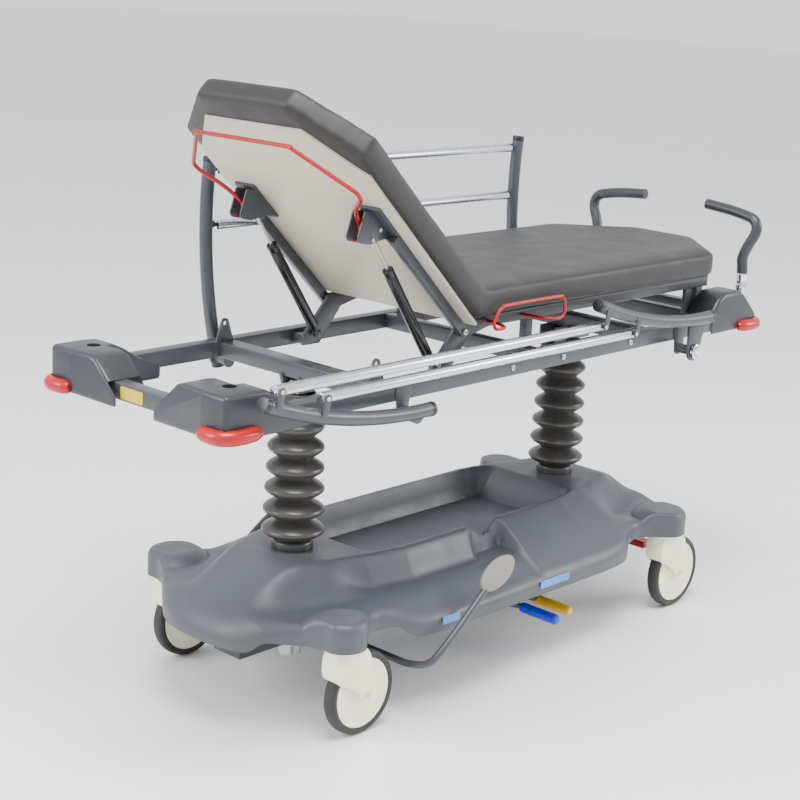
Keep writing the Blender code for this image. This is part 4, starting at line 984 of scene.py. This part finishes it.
def side_post(end_name, side_name, side, fold):
    offset = POST_OFFSET if end_name == "foot" else 0.0
    y = side * SIDE_Y
    pivot_x = POST_X + (POST_SPACING if end_name == "foot" else 0.0)
    place = Matrix.Translation((pivot_x, 0, POST_Z)) @ Matrix.Rotation(-fold, 4, "Y")
    body = f"rail_{end_name}_post_{side_name}"
    pieces = [tube([post_point(k / 8, offset, y) for k in range(9)], 0.0163, 6, 7)]
    lug_y = side * 0.3350
    if end_name == "foot":
        outline = [*arc((0, 0), 0.0262, 250, 110, 16), (offset + 0.004, 0.052), (offset + 0.012, -0.027)]
    else:
        outline = [*arc((0, 0), 0.021, 190, 380, 24), (0.012, 0.050), (-0.012, 0.050)]
    pieces.append(plate(outline, 0.007, upright(lug_y), 0.001, 2))
    ear_y = side * 0.3652
    rivets = []
    for height in PIN_HEIGHTS.values():
        centre = post_point((height - POST_FOOT) / POST_LENGTH, offset, y).x
        bend = (-75, 75) if PIN_OFFSET > centre else (-105, -255)
        outline = [(centre, height - EAR_R), (PIN_OFFSET, height - EAR_R),
                   *arc((PIN_OFFSET, height), EAR_R, *bend, 10),
                   (PIN_OFFSET, height + EAR_R), (centre, height + EAR_R)]
        pieces.append(plate(outline, 0.004, upright(ear_y), 0.0006, 2))
        rivets.append(bolt((PIN_OFFSET, side * 0.3665, height), (0, side, 0), 0.0060, 0.0008, False))
    caps = []
    for t, inward in ((0.0, 0.02), (1.0, -0.02)):
        tip = post_point(t, offset, y)
        out = (tip - post_point(t + inward, offset, y)).normalized()
        caps.append(rod(tip - out * 0.014, tip + out * 0.0004, 0.01655, round_edge=0.002))
    for piece in (*pieces, *caps, *rivets):
        move(piece, place)
    tag = f"{end_name}_{side_name}"
    finish(pieces, f"side_post_{tag}", body, "frame_paint", f"rail_post_{tag}")
    finish(caps, f"post_caps_{tag}", body, "cap_black", slot="strut_black")
    finish(rivets, f"post_rivets_{tag}", body, "bolt_steel", slot="bright_steel")


def side_tube(level_name, side_name, side, fold):
    y = side * SIDE_Y
    pin = Matrix.Rotation(-fold, 4, "Y") @ Vector((PIN_OFFSET, 0, PIN_HEIGHTS[level_name]))
    x, z = POST_X + pin.x, POST_Z + pin.z
    body = f"rail_tube_{level_name}_{side_name}"
    ends = (x - 0.0095, x + POST_SPACING + 0.0095)
    bar = rod((ends[0], y, z), (ends[1], y, z), 0.0124, sides=48, round_edge=0.001)
    finish(bar, f"side_tube_{level_name}_{side_name}", body, "rail_aluminium", body)
    profile = [(0.0, 0.0005), (0.010, 0.0004), (0.0122, -0.001), (0.01245, -0.009), (0.0, -0.009)]
    caps = [move(turned(profile, 40), aimed((start, y, z), (out, 0, 0))) for start, out in zip(ends, (-1, 1))]
    finish(caps, f"tube_caps_{level_name}_{side_name}", body, "chrome")


def lock_knob(side_name, side):
    x, y = POST_X + POST_SPACING, side * KNOB_Y
    profile = [(0.0, 0.0125), (0.0150, 0.0125), (0.0156, 0.0105), (0.0185, 0.0100), (0.0202, 0.0085),
               (0.0205, 0.0060), (0.0205, 0.0015), (0.0190, 0.0), (0.0, 0.0)]
    turn = Matrix.Translation((x, y, POST_Z)) @ Matrix.Rotation(-side * math.pi / 2, 4, "X")
    disc = move(turned(profile, 72), turn)
    heads = [bolt((x + dx, side * 0.3518, POST_Z + dz), (0, side, 0), 0.0056, 0.0038, False)
             for dx, dz in ((0.001, 0.0085), (-0.001, -0.0085))]
    finish([disc, *heads], f"lock_knob_body_{side_name}", f"lock_knob_{side_name}", "chrome",
           f"rail_lock_knob_{side_name}")


# ---- the object
def build():
    base_cover()
    for end_name, end in ENDS.items():
        bellows(end_name, end)
        for side_name, side in SIDES.items():
            castor(end_name, end, side_name, side)
            corner_cover(end_name, end, side_name, side)
            bumper(end_name, end, side_name, side)
    stickers()
    deck_frame()
    boards()
    mattress()
    release_bar()
    release_lever("blue", 0.135, 0.318)
    release_lever("yellow", 0.210, 0.300)
    brake_pedal()
    folds = {"near": FOLD, "far": 0.0}
    for side_name, side in SIDES.items():
        pump_pedal(side_name, side)
        push_handle(side_name, side)
        wire_handle(side_name, side)
        backrest_arm(side_name, side)
        strut(side_name, side)
        lock_knob(side_name, side)
        for end_name in ENDS:
            side_post(end_name, side_name, side, folds[side_name])
        for level_name in PIN_HEIGHTS:
            side_tube(level_name, side_name, side, folds[side_name])
    for name in ("chassis_frame", "jack_cylinder_head", "jack_cylinder_foot", "ram_head", "ram_foot_sleeve",
                 "ram_foot_rod"):
        looks = NODES[name].data.materials
        looks.clear()
        looks.append(MATERIALS["chassis_paint" if name == "chassis_frame" else "bright_steel"])


# ---- stage
def stage():
    floor_material = Surface("studio_floor", (0.93, 0.93, 0.93, 1.0), 0.45).vary(0.6, 0.01, 0.03).material
    bpy.ops.mesh.primitive_plane_add(size=60.0, location=(0.0, 0.0, 0.0))
    floor = bpy.context.object
    floor.name = "studio_floor"
    floor.data.materials.append(floor_material)
    world = bpy.data.worlds.new("studio")
    world.use_nodes = True
    background = world.node_tree.nodes["Background"]
    background.inputs["Color"].default_value = (0.95, 0.97, 1.0, 1.0)
    background.inputs["Strength"].default_value = 1.35
    bpy.context.scene.world = world

    def area(name, place, target, size, power):
        light = bpy.data.lights.new(name, "AREA")
        light.shape = "DISK"
        light.size = size
        light.energy = power
        item = link(name, light)
        item.location = place
        item.rotation_euler = (Vector(target) - Vector(place)).to_track_quat("-Z", "Y").to_euler()

    area("key", (-1.2, -1.2, 5.0), (0.0, 0.0, 0.5), 2.6, 330.0)
    area("left", (-4.5, 2.0, 3.0), (0.0, 0.0, 0.7), 2.4, 190.0)
    area("right", (4.0, -3.5, 2.6), (0.2, 0.0, 0.6), 2.4, 170.0)


CAMERA_PLACE = (-3.2232, -2.7991, 1.7343)
CAMERA_TURN = (-47.68, 14.575, 3.0)  # azimuth, elevation and roll, in degrees
CAMERA_LENS_MM = 78.28


def camera():
    azimuth, elevation, roll = (math.radians(degrees) for degrees in CAMERA_TURN)
    forward = Vector((-math.sin(azimuth) * math.cos(elevation), math.cos(azimuth) * math.cos(elevation),
                      -math.sin(elevation)))
    right = Vector((math.cos(azimuth), math.sin(azimuth), 0.0))
    up = right.cross(forward)
    x_axis = math.cos(roll) * right + math.sin(roll) * up
    y_axis = -math.sin(roll) * right + math.cos(roll) * up
    data = bpy.data.cameras.new("photo_view")
    data.lens, data.sensor_width = CAMERA_LENS_MM, 36.0
    item = link("photo_view", data)
    turn = Matrix((x_axis, y_axis, -forward)).transposed().to_4x4()
    item.matrix_world = Matrix.Translation(CAMERA_PLACE) @ turn
    bpy.context.scene.camera = item


camera()
build()
stage()
